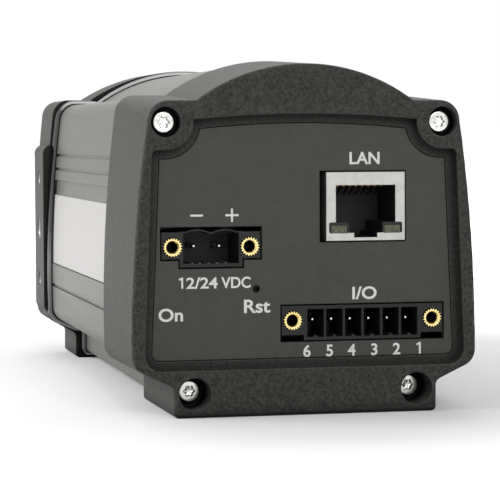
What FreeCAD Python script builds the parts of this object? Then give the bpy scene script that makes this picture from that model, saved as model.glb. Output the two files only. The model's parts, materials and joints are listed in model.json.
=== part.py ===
# Fixed thermal camera. Rear connectors face -Y, the lens looks along +Y, +Z is up and the feet stand on Z = 0.
# X = 0 is the plane of symmetry of the housing, and Y = 0 is the middle of the overall length.
# All sizes are millimetres and live in the sheet "Sizes"; every sub-part is bound to them by formulas.

import FreeCAD, Part
import itertools
import math
import os
import Sketcher
from FreeCAD import Rotation, Vector

os.makedirs("parts", exist_ok=True)
doc = FreeCAD.newDocument("thermal_camera")


class Size:
    """A length that knows its value and the sheet formula that gives it."""

    def __init__(self, value, text):
        self.value = float(value)
        self.text = text

    def __add__(self, other):
        other = as_size(other)
        return Size(self.value + other.value, f"({self.text} + {other.text})")

    def __sub__(self, other):
        other = as_size(other)
        return Size(self.value - other.value, f"({self.text} - {other.text})")

    def __mul__(self, other):
        other = as_size(other)
        return Size(self.value * other.value, f"({self.text} * {other.text})")

    def __truediv__(self, other):
        other = as_size(other)
        return Size(self.value / other.value, f"({self.text} / {other.text})")

    def __neg__(self):
        return Size(-self.value, f"(0 - {self.text})")

    __radd__ = __add__
    __rmul__ = __mul__

    def __rsub__(self, other):
        return as_size(other) - self


def as_size(number):
    return number if isinstance(number, Size) else Size(number, repr(float(number)))


def root(size):
    return Size(math.sqrt(size.value), f"sqrt({size.text})")


# Driving sizes: alias, value, meaning

SIZES = [
    # lengths along the camera
    ("bezel_depth", 32.5, "rear cover, rim to front edge"),
    ("gasket_depth", 0.8, "seal between rear cover and extrusion"),
    ("body_length", 87.2, "extruded housing"),
    ("collar_depth", 3.0, "glossy collar behind the front casting"),
    ("casting_depth", 20.5, "front casting"),
    ("lens_reach", 26.0, "lens in front of the casting"),
    # rim outline of the rear cover
    ("foot_inset", 8.1, "foot inside the lower corner"),
    ("foot_height", 6.0, "height where the foot meets the slanted underside"),
    ("rim_half", 34.4, "half width at the lower corner"),
    ("flank_height", 9.8, "height of the lower corner"),
    ("shoulder_inset", 3.8, "shoulder inside the lower corner"),
    ("shoulder_drop", 7.1, "shoulder below the top of the arch"),
    ("arch_inset", 8.9, "raised arch inside the shoulder"),
    ("arch_height", 68.3, "height of the arch"),
    ("side_bow", 1.1, "outward bow of the side"),
    ("lower_round", 3.5, "radius of the lower corner"),
    ("shoulder_round", 4.0, "radius of the shoulder corner"),
    ("foot_fillet", 1.5, "hollow fillet above the foot"),
    ("foot_round", 1.0, "radius of the foot's lower corner"),
    ("rim_round", 0.8, "rounding of the rim edge"),
    ("rim_band", 1.6, "undrafted band behind the rim"),
    # how the outline grows from rear to front
    ("draft_side", 0.3, "growth of the rear cover at each side"),
    ("draft_top", 1.5, "growth of the rear cover at the top"),
    ("draft_shoulder", 1.2, "growth of the rear cover at the shoulder's side"),
    ("skin_step", 1.0, "extrusion inside the edge of the rear cover"),
    ("skin_step_top", 0.6, "extrusion below the top edge of the rear cover"),
    ("collar_swell", 0.3, "collar outside the extrusion"),
    ("cap_step", 0.6, "front casting outside the edge of the rear cover"),
    ("body_lift", 1.65, "gap under the extrusion"),
    # connector bay of the rear cover
    ("bay_margin", 2.3, "wall beside the floor of the bay"),
    ("bay_floor", 9.2, "height of the bay's floor"),
    ("bay_top_margin", 0.2, "bay inside the shoulder, under the upper screws"),
    ("roof_drop", 3.7, "bay's roof below the shoulder, beside the upper screws"),
    ("bay_crown", 1.1, "rise of the roof to the middle"),
    ("bay_round", 3.2, "radius of the bay's lower corners"),
    ("bay_notch_round", 1.2, "radius of the corner under the upper screws"),
    ("bay_depth", 2.3, "depth of the bay"),
    ("panel_inset", 1.7, "ledge seen around the panel"),
    ("window_inset", 2.6, "ledge behind the panel"),
    ("panel_thickness", 1.6, "connector panel"),
    ("seal_thickness", 0.6, "seal behind the panel"),
    ("ledge_thickness", 2.0, "ledge that carries the panel"),
    # cover screws
    ("upper_screw_inset", 3.0, "upper screws inside the shoulder"),
    ("upper_screw_drop", 4.2, "upper screws below the shoulder"),
    ("lower_screw_inset", 12.2, "lower screws inside the lower corner"),
    ("lower_screw_z", 4.6, "lower screws, above the ground"),
    ("boss_radius", 5.3, "screw boss in the corner of the bay"),
    ("screw_radius", 1.5, "shank of the cover screws"),
    ("screw_head_radius", 2.2, "head of the cover screws"),
    ("screw_head_height", 1.8, "head of the cover screws"),
    ("upper_sink_radius", 2.95, "counterbore of the upper screws"),
    ("upper_sink_depth", 4.4, "counterbore of the upper screws"),
    ("lower_sink_radius", 3.2, "counterbore of the lower screws"),
    ("lower_sink_depth", 8.0, "counterbore of the lower screws"),
    ("screw_reach", 9.0, "thread of a cover screw in the extrusion"),
    ("drive_radius", 1.15, "hexalobular drive"),
    ("drive_depth", 1.1, "hexalobular drive"),
    ("fit_gap", 0.05, "gap round a part that sits in a hole"),
    ("wall_gap", 0.15, "gap between a board or plate and the wall beside it"),
    # extrusion
    ("body_wall", 2.0, "wall of the extrusion"),
    ("port_radius", 3.6, "screw port in the corner of the extrusion"),
    ("groove_width", 0.7, "grooves along the sides"),
    ("groove_depth", 0.5, "grooves along the sides"),
    ("groove_upper_drop", 11.3, "upper groove below the shoulder"),
    ("groove_middle_drop", 14.6, "middle groove below the shoulder"),
    ("groove_lower", 18.4, "height of the lower groove"),
    ("bed_drop", 17.3, "upper edge of the label bed below the shoulder"),
    ("bed_bottom", 23.6, "lower edge of the label bed"),
    ("bed_depth", 0.5, "label bed"),
    ("label_drop", 3.6, "upper edge of the label below the edge of its bed"),
    ("label_thickness", 0.3, "side label"),
    ("rail_reach", 1.6, "card rails inside the extrusion"),
    ("rail_thickness", 1.2, "card rails inside the extrusion"),
    # front casting
    ("pad_reach", 0.9, "mounting pads outside the lower corner"),
    ("pad_drop", 8.8, "upper edge of the side pads below the shoulder"),
    ("pad_bottom", 11.0, "lower edge of the side pads"),
    ("pad_length", 16.0, "mounting pads along the camera"),
    ("pad_round", 2.2, "corner of the side pads"),
    ("pad_root", 6.1, "side pads into the casting, from the lower corner's half width"),
    ("cap_round", 0.8, "front edge of the casting"),
    ("cap_floor", 3.5, "front wall of the casting"),
    ("cap_arch_spread", 1.8, "extra half width of the casting's arch"),
    ("well_inset", 8.8, "hollow in the casting inside the lower corner"),
    ("well_bottom", 9.2, "floor of the hollow in the casting"),
    ("well_drop", 2.4, "roof of the hollow in the casting below the shoulder"),
    ("well_round", 6.0, "corners of the hollow in the casting"),
    ("front_sink_depth", 3.0, "counterbore of the front screws"),
    ("head_gap", 0.5, "gap round the head of a front screw"),
    ("tripod_radius", 2.55, "quarter-inch tripod thread, tapping size"),
    ("tripod_depth", 7.5, "quarter-inch tripod thread"),
    ("bolt_radius", 1.65, "M4 mounting thread, tapping size"),
    ("bolt_depth", 7.0, "M4 mounting thread"),
    ("bolt_spacing", 25.0, "between the two M4 threads of a pad"),
    # power header
    ("power_inset", 13.65, "middle of the power header inside the bay's side"),
    ("power_z", 32.9, "height of the power pins"),
    ("power_pitch", 5.08, "pin spacing"),
    ("power_nut_offset", 7.62, "flange nut, from the middle"),
    ("power_half", 9.75, "half length of the power header"),
    ("power_low", 2.3, "flange below the pins"),
    ("power_high", 2.9, "flange above the pins"),
    ("power_cavity_half", 5.5, "half width of its socket"),
    ("power_cavity_low", 3.2, "socket below the pins"),
    ("power_cavity_high", 2.3, "socket above the pins"),
    ("power_wall", 0.7, "wall round the power socket"),
    ("power_hump", 0.6, "humps on top of the power header"),
    # io header
    ("io_inset", 20.23, "middle of the io header inside the bay's side"),
    ("io_z", 18.25, "height of the io pins"),
    ("io_pitch", 3.81, "pin spacing"),
    ("io_nut_offset", 14.17, "flange nut, from the middle"),
    ("io_half", 16.35, "half length of the io header"),
    ("io_low", 3.9, "header below the pins"),
    ("io_high", 2.7, "header above the pins"),
    ("io_flange_low", 2.85, "flange below the pins"),
    ("io_flange_high", 2.9, "flange above the pins"),
    ("io_rib", 0.45, "wall between two io sockets"),
    ("key_half", 0.5, "key on the floor of an io socket"),
    ("io_socket_low", 3.3, "io socket below the pins"),
    ("io_socket_high", 2.2, "io socket above the pins"),
    # both headers
    ("header_set_back", 0.2, "headers behind the panel's face"),
    ("pin_half", 0.45, "half side of a header pin"),
    ("power_pin_recess", 4.6, "power pins behind the header's face"),
    ("io_pin_recess", 2.6, "io pins behind the header's face"),
    ("socket_depth", 10.2, "depth of the sockets"),
    ("nut_radius", 1.9, "knurled flange nut"),
    ("nut_bore", 1.02, "thread of the flange nut"),
    ("knurl_depth", 0.2, "knurl of the flange nut"),
    ("nut_length", 6.0, "knurled flange nut"),
    ("nut_proud", 0.4, "flange nut in front of its header"),
    ("opening_gap", 0.3, "panel opening round a connector"),
    # network jack
    ("jack_share", 0.61516, "network jack's place between the power header and the boss beside it"),
    ("jack_drop", 17.05, "its middle below the bay's roof"),
    ("jack_width", 15.9, "shield"),
    ("jack_height", 13.4, "shield"),
    ("jack_sheet", 0.25, "shield sheet"),
    ("jack_proud", 0.3, "jack in front of the panel"),
    ("jack_side_gap", 1.3, "panel opening beside the jack, on the power side"),
    ("plug_half", 6.05, "half width of the plug opening"),
    ("plug_roof", 4.15, "roof of the plug opening above the middle"),
    ("plug_floor", 3.15, "floor of the plug opening below the middle"),
    ("latch_half", 2.35, "half width of the latch recess"),
    ("latch_floor", 6.1, "floor of the latch recess below the middle"),
    ("plug_depth", 12.5, "depth of the plug opening"),
    ("lamp_width", 3.2, "lamp window of the jack"),
    ("lamp_height", 1.5, "lamp window of the jack"),
    ("lamp_drop", 5.2, "lamp window below the middle"),
    ("lamp_offset", 5.4, "lamp window beside the middle"),
    ("lamp_length", 6.0, "lamp window into the jack"),
    ("jack_rib", 0.3, "rib between lamp window and plug opening"),
    ("contact_pitch", 1.27, "network contacts"),
    ("contact_width", 0.4, "network contacts"),
    ("contact_drop", 1.8, "fall of the contacts"),
    # boards
    ("board_thickness", 1.6, "circuit boards"),
    ("board_margin", 0.8, "interface board inside the bay"),
    ("board_inset", 5.0, "boards in the card rails inside the lower corner"),
    ("board_clearance", 0.6, "interface board to the long boards"),
    ("part_side", 10.0, "side of the larger parts on the boards"),
    ("part_share", 0.62, "tallest part's share of the room between the two boards"),
    ("flat_cable_depth", 0.3, "flat cable to the detector"),
    ("connector_depth", 14.0, "panel face to interface board"),
    ("board_boss_radius", 2.6, "boss for the interface board"),
    ("board_boss_inset", 3.9, "bosses inside the bay's side"),
    ("board_boss_low", 24.6, "height of the lower bosses"),
    ("board_boss_drop", 11.5, "upper bosses below the upper screws"),
    ("board_screw_radius", 1.0, "board screws"),
    ("board_screw_head", 1.9, "board screws"),
    ("board_screw_reach", 5.0, "board screws in their bosses"),
    ("power_board_z", 20.0, "height of the power board"),
    ("processor_drop", 16.0, "processor board below the upper screws"),
    ("long_board_room", 11.2, "extrusion longer than the power and processor boards"),
    # reset
    ("reset_x", -9.58, "reset pinhole"),
    ("reset_z", 24.6, "reset pinhole"),
    ("reset_hole_radius", 0.75, "reset pinhole"),
    ("reset_button_radius", 1.75, "reset button behind the pinhole"),
    ("reset_travel", 0.3, "travel of the reset button"),
    ("reset_engagement", 1.2, "button inside its switch"),
    ("reset_room", 0.9, "gap between panel and reset button"),
    ("reset_case", 6.0, "side of the reset switch"),
    ("reset_case_depth", 3.5, "depth of the reset switch"),
    # lens and focus
    ("barrel_radius", 23.4, "outer barrel"),
    ("barrel_wall", 2.6, "outer barrel"),
    ("flange_reach", 4.2, "flange outside the outer barrel"),
    ("flange_thickness", 3.2, "flange of the outer barrel"),
    ("lens_bore_gap", 0.2, "outer barrel in the bore of the casting"),
    ("barrel_screw_reach", 2.0, "screws outside the outer barrel"),
    ("barrel_screw_radius", 1.0, "screws of the outer barrel"),
    ("barrel_screw_head", 1.7, "screws of the outer barrel"),
    ("barrel_screw_sink", 1.6, "counterbore of the barrel screws"),
    ("front_ring_depth", 3.0, "ring at the front of the barrel"),
    ("front_ring_hole", 18.6, "hole of the front ring"),
    ("front_ring_lip", 0.8, "front ring outside the barrel"),
    ("cell_gap", 0.12, "running gap round the lens cell"),
    ("cell_start", 0.5, "lens cell in front of the inner wall"),
    ("cell_end_gap", 1.0, "lens cell at the end of its travel to the front ring"),
    ("cell_wall", 2.4, "wall at the front of the lens cell"),
    ("cell_floor", 4.0, "floor of the lens cell"),
    ("tail_radius", 13.0, "threaded tail of the lens cell"),
    ("tail_wall", 1.6, "threaded tail of the lens cell"),
    ("lens_seat", 1.2, "shoulder that carries a lens"),
    ("lens_set_back", 0.8, "rear lens inside the tail"),
    ("focus_travel", 3.0, "travel of the lens cell"),
    ("front_lens_depth", 4.6, "front lens at its rim"),
    ("front_lens_crown", 2.0, "bulge of the front lens"),
    ("rear_lens_depth", 3.2, "rear lens"),
    ("retainer_depth", 2.2, "ring that holds the front lens"),
    ("ring_teeth", 60.0, "teeth of the focus ring"),
    ("pinion_teeth", 12.0, "teeth of the focus pinion"),
    ("gear_module", 0.6, "tooth size"),
    ("tooth_rise", 0.5, "tooth above the pitch circle"),
    ("tooth_fall", 0.75, "tooth below the pitch circle"),
    ("gear_face", 4.0, "width of the focus gears"),
    ("journal_radius", 16.2, "bearing of the focus ring"),
    ("journal_length", 6.0, "bearing of the focus ring"),
    ("bearing_gap", 0.06, "running gap of the focus ring"),
    ("carrier_wall", 2.6, "sleeve that carries the focus ring"),
    ("carrier_flange", 24.2, "flange of that sleeve"),
    ("carrier_gap", 0.6, "flange to the casting's floor and roof"),
    ("carrier_side_gap", 1.4, "flange to the casting's side walls"),
    ("carrier_flange_thickness", 2.6, "flange of that sleeve"),
    ("side_gap", 0.15, "gap beside the focus ring"),
    ("gear_plate_thickness", 1.6, "plate behind the focus ring"),
    ("plate_room", 1.4, "clearance of a hole in the gear plate"),
    ("gear_plate_half", 24.0, "half width of that plate"),
    ("gear_plate_low", 23.0, "lower edge of that plate below the axis"),
    ("gear_plate_high", 21.0, "upper edge of that plate above the axis"),
    ("post_radius", 1.6, "posts of the gear plate"),
    ("post_x", 20.5, "posts, from the middle"),
    ("post_low", 19.8, "lower posts below the axis"),
    ("post_high", 18.4, "upper post above the axis"),
    ("guide_radius", 1.0, "guide pins of the lens cell"),
    ("guide_ring", 18.7, "guide pins, from the axis"),
    ("guide_length", 9.0, "guide pins in the lens cell"),
    ("motor_radius", 4.8, "focus motor"),
    ("motor_length", 13.0, "focus motor"),
    ("motor_shaft", 0.75, "shaft of the focus motor"),
    ("shaft_engagement", 3.0, "moving shafts inside their motors"),
    ("shutter_side", 16.0, "pivot of the shutter flag, beside the axis"),
    ("shutter_rise", 11.2, "pivot of the shutter flag above the axis"),
    ("shutter_radius", 3.6, "shutter actuator"),
    ("shutter_length", 7.0, "shutter actuator"),
    ("shutter_shaft", 0.7, "shaft of the shutter actuator"),
    ("flag_radius", 7.2, "blade of the shutter flag"),
    ("flag_thickness", 0.5, "blade of the shutter flag"),
    ("flag_arm", 2.6, "arm of the shutter flag"),
    ("flag_room", 1.4, "flag behind its actuator"),
    ("shutter_swing", 50.0, "degrees from parked to closed"),
    ("detector_board_half", 22.4, "half width of the detector board"),
    ("detector_gap", 18.0, "gear plate to detector board"),
    ("detector_side", 20.0, "detector package"),
    ("detector_depth", 5.0, "detector package"),
    ("detector_window_side", 13.0, "window of the detector package"),
    ("window_depth", 0.8, "window in the detector package"),
]

sheet = doc.addObject("Spreadsheet::Sheet", "Sizes")
for row, (alias, value, meaning) in enumerate(SIZES, start=1):
    sheet.set(f"A{row}", alias)
    sheet.set(f"B{row}", str(value))
    sheet.setAlias(f"B{row}", alias)
    sheet.set(f"C{row}", meaning)
doc.recompute()


class Sheet:
    """The sheet's sizes, by name."""


s = Sheet()
for alias, value, meaning in SIZES:
    setattr(s, alias, Size(value, f"Sizes.{alias}"))


def lesser(first, second):
    """The smaller of two sizes."""
    return Size(min(first.value, second.value), f"min({first.text}; {second.text})")


following_rows = itertools.count(len(SIZES) + 1)


def follow(alias, size, meaning):
    """Adds a size that follows from others to the sheet, as a formula."""
    row = next(following_rows)
    sheet.set(f"A{row}", alias)
    sheet.set(f"B{row}", "=" + size.text.replace("Sizes.", ""))
    sheet.setAlias(f"B{row}", alias)
    sheet.set(f"C{row}", meaning)
    setattr(s, alias, Size(size.value, f"Sizes.{alias}"))


# Widths that follow the lower corner of the housing

follow("foot_half", s.rim_half - s.foot_inset, "half width of the foot")
follow("shoulder_half", s.rim_half - s.shoulder_inset, "half width at the shoulder")
follow("arch_half", s.shoulder_half - s.arch_inset, "half width of the raised arch")
follow("bay_half", s.rim_half - s.bay_margin, "half width of the bay at its floor")
follow("bay_top_half", s.shoulder_half - s.bay_top_margin, "half width of the bay under the upper screws")
follow("upper_screw_x", s.shoulder_half - s.upper_screw_inset, "upper screws, from the middle")
follow("lower_screw_x", s.rim_half - s.lower_screw_inset, "lower screws, from the middle")
follow("pad_half", s.rim_half + s.pad_reach, "mounting pads, from the middle")
follow("well_half", s.rim_half - s.well_inset, "half width of the hollow in the casting")
follow("board_half", s.rim_half - s.board_inset, "half width of the boards in the card rails")
follow("board_boss_x", s.bay_half - s.board_boss_inset, "bosses, from the middle")
follow("power_x", s.power_inset - s.bay_half, "middle of the power header")
follow("io_x", s.bay_half - s.io_inset, "middle of the io header")
follow("jack_x", s.power_x + s.power_half
       + (s.board_boss_x - s.board_boss_radius - s.power_x - s.power_half) * s.jack_share,
       "middle of the network jack")

# Heights that follow the top of the arch

follow("shoulder_height", s.arch_height - s.shoulder_drop, "height of the shoulder")
follow("bay_roof", s.shoulder_height - s.roof_drop, "height of the bay's roof beside the upper screws")
follow("upper_screw_z", s.shoulder_height - s.upper_screw_drop, "height of the upper screws")
follow("groove_upper", s.shoulder_height - s.groove_upper_drop, "height of the upper groove")
follow("groove_middle", s.shoulder_height - s.groove_middle_drop, "height of the middle groove")
follow("bed_top", s.shoulder_height - s.bed_drop, "upper edge of the label bed")
follow("label_top", s.bed_top - s.label_drop, "upper edge of the label")
follow("pad_top", s.shoulder_height - s.pad_drop, "upper edge of the side pads")
follow("pad_holes_z", (s.pad_bottom + s.pad_top) / 2, "height of the middle hole of a side pad")
follow("well_top", s.shoulder_height - s.well_drop, "roof of the hollow in the casting")
follow("jack_z", s.bay_roof - s.jack_drop, "height of the network jack's middle")
follow("board_boss_high", s.upper_screw_z - s.board_boss_drop, "height of the upper bosses")
follow("processor_board_z", s.upper_screw_z - s.processor_drop, "height of the processor board")
follow("part_height", (s.processor_board_z - s.power_board_z - s.board_thickness) * s.part_share,
       "height of the tallest part on the boards")
follow("long_board_length", s.body_length - s.long_board_room, "power and processor boards")
follow("lens_height", (s.well_bottom + s.well_top) / 2, "height of the lens axis")

# The lens group sits in the casting's hollow and keeps its proportions to the room there

follow("flange_radius", s.barrel_radius + s.flange_reach, "flange of the outer barrel")
follow("barrel_screw_ring", s.barrel_radius + s.barrel_screw_reach, "screws of the outer barrel, from the axis")
follow("lens_fit", lesser((s.well_top - s.well_bottom) / 2 - s.carrier_gap, s.well_half - s.carrier_side_gap)
       / s.carrier_flange, "share of its drawn size that fits")
for alias in ("barrel_radius", "barrel_wall", "flange_radius", "barrel_screw_ring", "front_ring_hole", "cell_wall",
              "tail_radius", "tail_wall", "lens_seat", "gear_module", "tooth_rise", "tooth_fall", "journal_radius",
              "carrier_wall", "carrier_flange", "gear_plate_half", "gear_plate_low", "gear_plate_high", "post_x",
              "post_low", "post_high", "guide_ring", "motor_radius", "shutter_side", "shutter_rise",
              "shutter_radius", "flag_radius", "detector_board_half", "detector_side", "detector_window_side"):
    follow(f"fitted_{alias}", getattr(s, alias) * s.lens_fit, f"{alias} as fitted")
    setattr(s, alias, getattr(s, f"fitted_{alias}"))
follow("gear_plate_bottom", s.lens_height - s.gear_plate_low, "lower edge of the gear plate")
follow("gear_plate_top", s.lens_height + s.gear_plate_high, "upper edge of the gear plate")
follow("post_low_z", s.lens_height - s.post_low, "height of the lower posts")
follow("post_high_z", s.lens_height + s.post_high, "height of the upper post")
follow("shutter_z", s.lens_height + s.shutter_rise, "height of the shutter's pivot")


# Stations along the camera, from the rear rim to the front of the lens

overall_length = (s.bezel_depth + s.gasket_depth + s.body_length + s.collar_depth
                  + s.casting_depth + s.lens_reach)
rim_y = -overall_length / 2
bezel_front_y = rim_y + s.bezel_depth
body_rear_y = bezel_front_y + s.gasket_depth
body_front_y = body_rear_y + s.body_length
casting_rear_y = body_front_y + s.collar_depth
casting_front_y = casting_rear_y + s.casting_depth
lens_front_y = casting_front_y + s.lens_reach

panel_y = rim_y + s.bay_depth
seal_y = panel_y + s.panel_thickness
ledge_y = seal_y + s.seal_thickness
ledge_front_y = ledge_y + s.ledge_thickness
board_y = panel_y + s.connector_depth
header_y = panel_y + s.header_set_back
zero = as_size(0)


# Drawing and building helpers

def bind(thing, **formulas):
    """Binds properties of an object to formulas of the sheet; __ stands for a dot."""
    for name, size in formulas.items():
        thing.setExpression(name.replace("__", "."), as_size(size).text)


def place(thing, x, y, z):
    bind(thing, Placement__Base__x=x, Placement__Base__y=y, Placement__Base__z=z)


def new_body(name):
    body = doc.addObject("PartDesign::Body", name)
    body.Label = name
    return body


def plane_of(body, role):
    return next(item for item in body.Origin.OriginFeatures if item.Role == role)


def section_sketch(body, y, x=0, z=0):
    """A sketch across the camera at length y, its own origin at x, z; it looks along -Y."""
    sketch = body.newObject("Sketcher::SketchObject", f"{body.Name}_section")
    sketch.AttachmentSupport = (plane_of(body, "XZ_Plane"), [""])
    sketch.MapMode = "FlatFace"
    bind(sketch, AttachmentOffset__Base__x=x, AttachmentOffset__Base__y=z, AttachmentOffset__Base__z=-as_size(y))
    return sketch


def side_sketch(body, y, z, x=0):
    """A sketch along the camera: its first axis is +Y, its second +Z, and it looks along +X."""
    sketch = body.newObject("Sketcher::SketchObject", f"{body.Name}_profile")
    sketch.AttachmentSupport = (plane_of(body, "YZ_Plane"), [""])
    sketch.MapMode = "FlatFace"
    bind(sketch, AttachmentOffset__Base__x=y, AttachmentOffset__Base__y=z, AttachmentOffset__Base__z=x)
    return sketch


def plan_sketch(body, z, x=0, y=0):
    """A sketch seen from above at height z."""
    sketch = body.newObject("Sketcher::SketchObject", f"{body.Name}_plan")
    sketch.AttachmentSupport = (plane_of(body, "XY_Plane"), [""])
    sketch.MapMode = "FlatFace"
    bind(sketch, AttachmentOffset__Base__x=x, AttachmentOffset__Base__y=y, AttachmentOffset__Base__z=z)
    return sketch


def hold(sketch, edge, end, axis, size):
    """Fixes one coordinate of an edge's end to a formula."""
    size = as_size(size)
    kind = "DistanceX" if axis == "x" else "DistanceY"
    fix(sketch, Sketcher.Constraint(kind, -1, 1, edge, end, size.value), size)


class Corner:
    """A corner of an outline. Rise bulges the side that leaves it, to the right of its direction; round blends it."""

    def __init__(self, x, z, rise=None, round=None):
        self.x = as_size(x)
        self.z = as_size(z)
        self.rise = None if rise is None else as_size(rise)
        self.round = None if round is None else as_size(round)
        self.point = Vector(self.x.value, self.z.value, 0)


def side_middle(corner, following):
    """The middle of the side between two corners, out on its arc if it has one."""
    middle = (corner.point + following.point) * 0.5
    if corner.rise is None:
        return middle
    chord = following.point - corner.point
    return middle + Vector(chord.y, -chord.x, 0).normalize() * corner.rise.value


def side_directions(corner, following):
    """The side's directions where it leaves one corner and where it reaches the next."""
    chord = (following.point - corner.point).normalize()
    if corner.rise is None:
        return chord, chord
    arc = Part.Arc(corner.point, side_middle(corner, following), following.point)
    first, last = arc.tangent(arc.FirstParameter)[0], arc.tangent(arc.LastParameter)[0]
    if (arc.StartPoint - corner.point).Length > (arc.EndPoint - corner.point).Length:
        first, last = last, first
    return (first if first.dot(chord) > 0 else -first), (last if last.dot(chord) > 0 else -last)


def side_radius(corner, following):
    """The radius of an arc side, as a formula."""
    width = following.x - corner.x
    height = following.z - corner.z
    rise = corner.rise if corner.rise.value > 0 else -corner.rise
    return ((width * width + height * height) / 4 + rise * rise) / (rise * 2)


def add_arc(sketch, start, middle, end):
    """Adds an arc and says which of its ends is the start and which the end."""
    edge = sketch.addGeometry(Part.Arc(start, middle, end))
    forward = (sketch.getPoint(edge, 1) - start).Length < (sketch.getPoint(edge, 2) - start).Length
    return (edge, 1, 2) if forward else (edge, 2, 1)


def fix(sketch, constraint, size):
    index = sketch.addConstraint(constraint)
    sketch.setExpression(f"Constraints[{index}]", size.text)


def outline(sketch, corners):
    """Draws a closed outline through its corners, each an (x, z) pair or a Corner."""
    corners = [c if isinstance(c, Corner) else Corner(*c) for c in corners]
    count = len(corners)
    leave, arrive = [], []
    for number, corner in enumerate(corners):
        first, last = side_directions(corner, corners[(number + 1) % count])
        leave.append(first)
        arrive.append(last)
    trims = []
    for number, corner in enumerate(corners):
        back, ahead = arrive[number - 1], leave[number]
        if corner.round is None:
            trims.append((corner.point, corner.point, None))
            continue
        reach = corner.round.value * math.tan(back.getAngle(ahead) / 2)
        start, end = corner.point - back * reach, corner.point + ahead * reach
        inward = (ahead - back).normalize()
        centre_distance = corner.round.value / math.cos(back.getAngle(ahead) / 2)
        middle = corner.point + inward * (centre_distance - corner.round.value)
        trims.append((start, end, middle))
    sides = []
    for number, corner in enumerate(corners):
        following = corners[(number + 1) % count]
        start, end = trims[number][1], trims[(number + 1) % count][0]
        if corner.rise is None:
            sides.append((sketch.addGeometry(Part.LineSegment(start, end)), 1, 2))
        else:
            sides.append(add_arc(sketch, start, side_middle(corner, following), end))
    for number, corner in enumerate(corners):
        last_edge, _, last_end = sides[number - 1]
        edge, begin, _ = sides[number]
        if corner.round is None:
            sketch.addConstraint(Sketcher.Constraint("Coincident", last_edge, last_end, edge, begin))
            hold(sketch, edge, begin, "x", corner.x)
            hold(sketch, edge, begin, "y", corner.z)
        else:
            start, end, middle = trims[number]
            blend, blend_start, blend_end = add_arc(sketch, start, middle, end)
            point = sketch.addGeometry(Part.Point(corner.point), True)
            hold(sketch, point, 1, "x", corner.x)
            hold(sketch, point, 1, "y", corner.z)
            sketch.addConstraint(Sketcher.Constraint("PointOnObject", point, 1, last_edge))
            sketch.addConstraint(Sketcher.Constraint("PointOnObject", point, 1, edge))
            sketch.addConstraint(Sketcher.Constraint("Tangent", last_edge, last_end, blend, blend_start))
            sketch.addConstraint(Sketcher.Constraint("Tangent", blend, blend_end, edge, begin))
            fix(sketch, Sketcher.Constraint("Radius", blend, corner.round.value), corner.round)
        if corner.rise is not None:
            radius = side_radius(corner, corners[(number + 1) % count])
            fix(sketch, Sketcher.Constraint("Radius", edge, radius.value), radius)


def circle(sketch, x, z, radius):
    x, z, radius = as_size(x), as_size(z), as_size(radius)
    edge = sketch.addGeometry(Part.Circle(Vector(x.value, z.value, 0), Vector(0, 0, 1), radius.value))
    fix(sketch, Sketcher.Constraint("Radius", edge, radius.value), radius)
    hold(sketch, edge, 3, "x", x)
    hold(sketch, edge, 3, "y", z)


def rectangle(sketch, left, low, right, high):
    outline(sketch, [(left, low), (right, low), (right, high), (left, high)])


def pad(body, sketch, length, forward=True):
    """Adds the sketch's area; forward is against the sketch's own direction, so +Y for a section."""
    feature = body.newObject("PartDesign::Pad", f"{body.Name}_pad")
    feature.Profile = sketch
    feature.Reversed = forward
    bind(feature, Length=length)
    return feature


def pocket(body, sketch, length, forward=True):
    """Cuts the sketch's area away; forward is against the sketch's own direction, so +Y for a section."""
    feature = body.newObject("PartDesign::Pocket", f"{body.Name}_pocket")
    feature.Profile = sketch
    feature.Reversed = not forward
    bind(feature, Length=length)
    return feature


def loft(body, first, second):
    feature = body.newObject("PartDesign::AdditiveLoft", f"{body.Name}_loft")
    feature.Profile = first
    feature.Sections = [second]
    feature.Ruled = True
    return feature


def turn(body, sketch):
    feature = body.newObject("PartDesign::Revolution", f"{body.Name}_turn")
    feature.Profile = sketch
    feature.ReferenceAxis = (sketch, ["H_Axis"])
    feature.Angle = 360
    return feature


def round_edges(body, base, radius, wanted):
    """Rounds the edges of the base feature that wanted(edge) picks."""
    doc.recompute()
    names = [f"Edge{number}" for number, edge in enumerate(base.Shape.Edges, start=1) if wanted(edge)]
    if not names:
        raise ValueError(f"no edge to round on {body.Label}")
    feature = body.newObject("PartDesign::Fillet", f"{body.Name}_round")
    feature.Base = (base, names)
    bind(feature, Radius=radius)
    return feature


def crossing(edge, y):
    """True for an edge that lies wholly at length y."""
    return all(abs(vertex.Y - y) < 0.01 for vertex in edge.Vertexes) and abs(edge.BoundBox.YLength) < 0.02


ALONG_Y = Rotation(Vector(1, 0, 0), -90)


def rod(name, x, y, z, radius, length):
    """A round bar along +Y."""
    bar = doc.addObject("Part::Cylinder", name)
    bar.Placement.Rotation = ALONG_Y
    bind(bar, Radius=radius, Height=length)
    place(bar, x, y, z)
    return bar


def block(name, x, y, z, width, length, height):
    """A block from its lowest corner."""
    brick = doc.addObject("Part::Box", name)
    bind(brick, Length=width, Width=length, Height=height)
    place(brick, x, y, z)
    return brick


def fuse(name, pieces):
    joined = doc.addObject("Part::MultiFuse", name)
    joined.Shapes = pieces
    joined.Refine = True
    joined.Label = name
    return joined


def cut(name, base, tool):
    carved = doc.addObject("Part::Cut", name)
    carved.Base = base
    carved.Tool = tool
    carved.Label = name
    return carved


def group(name, pieces):
    """Several separate solids that make one sub-part."""
    bundle = doc.addObject("Part::Compound", name)
    bundle.Links = pieces
    bundle.Label = name
    return bundle


def turned(name, profile, y=zero, x=0, z=s.lens_height):
    """A round piece about an axis along +Y through x, z. The profile's corners are (y, radius)."""
    body = new_body(name)
    sketch = side_sketch(body, y, z, x)
    outline(sketch, profile)
    turn(body, sketch)
    return body


NODES = []


def keep(piece):
    """Marks a sub-part that is written to its own file."""
    NODES.append(piece)
    return piece


# The housing's outline, shared by the rear cover, the extrusion, the collar and the front casting

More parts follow.
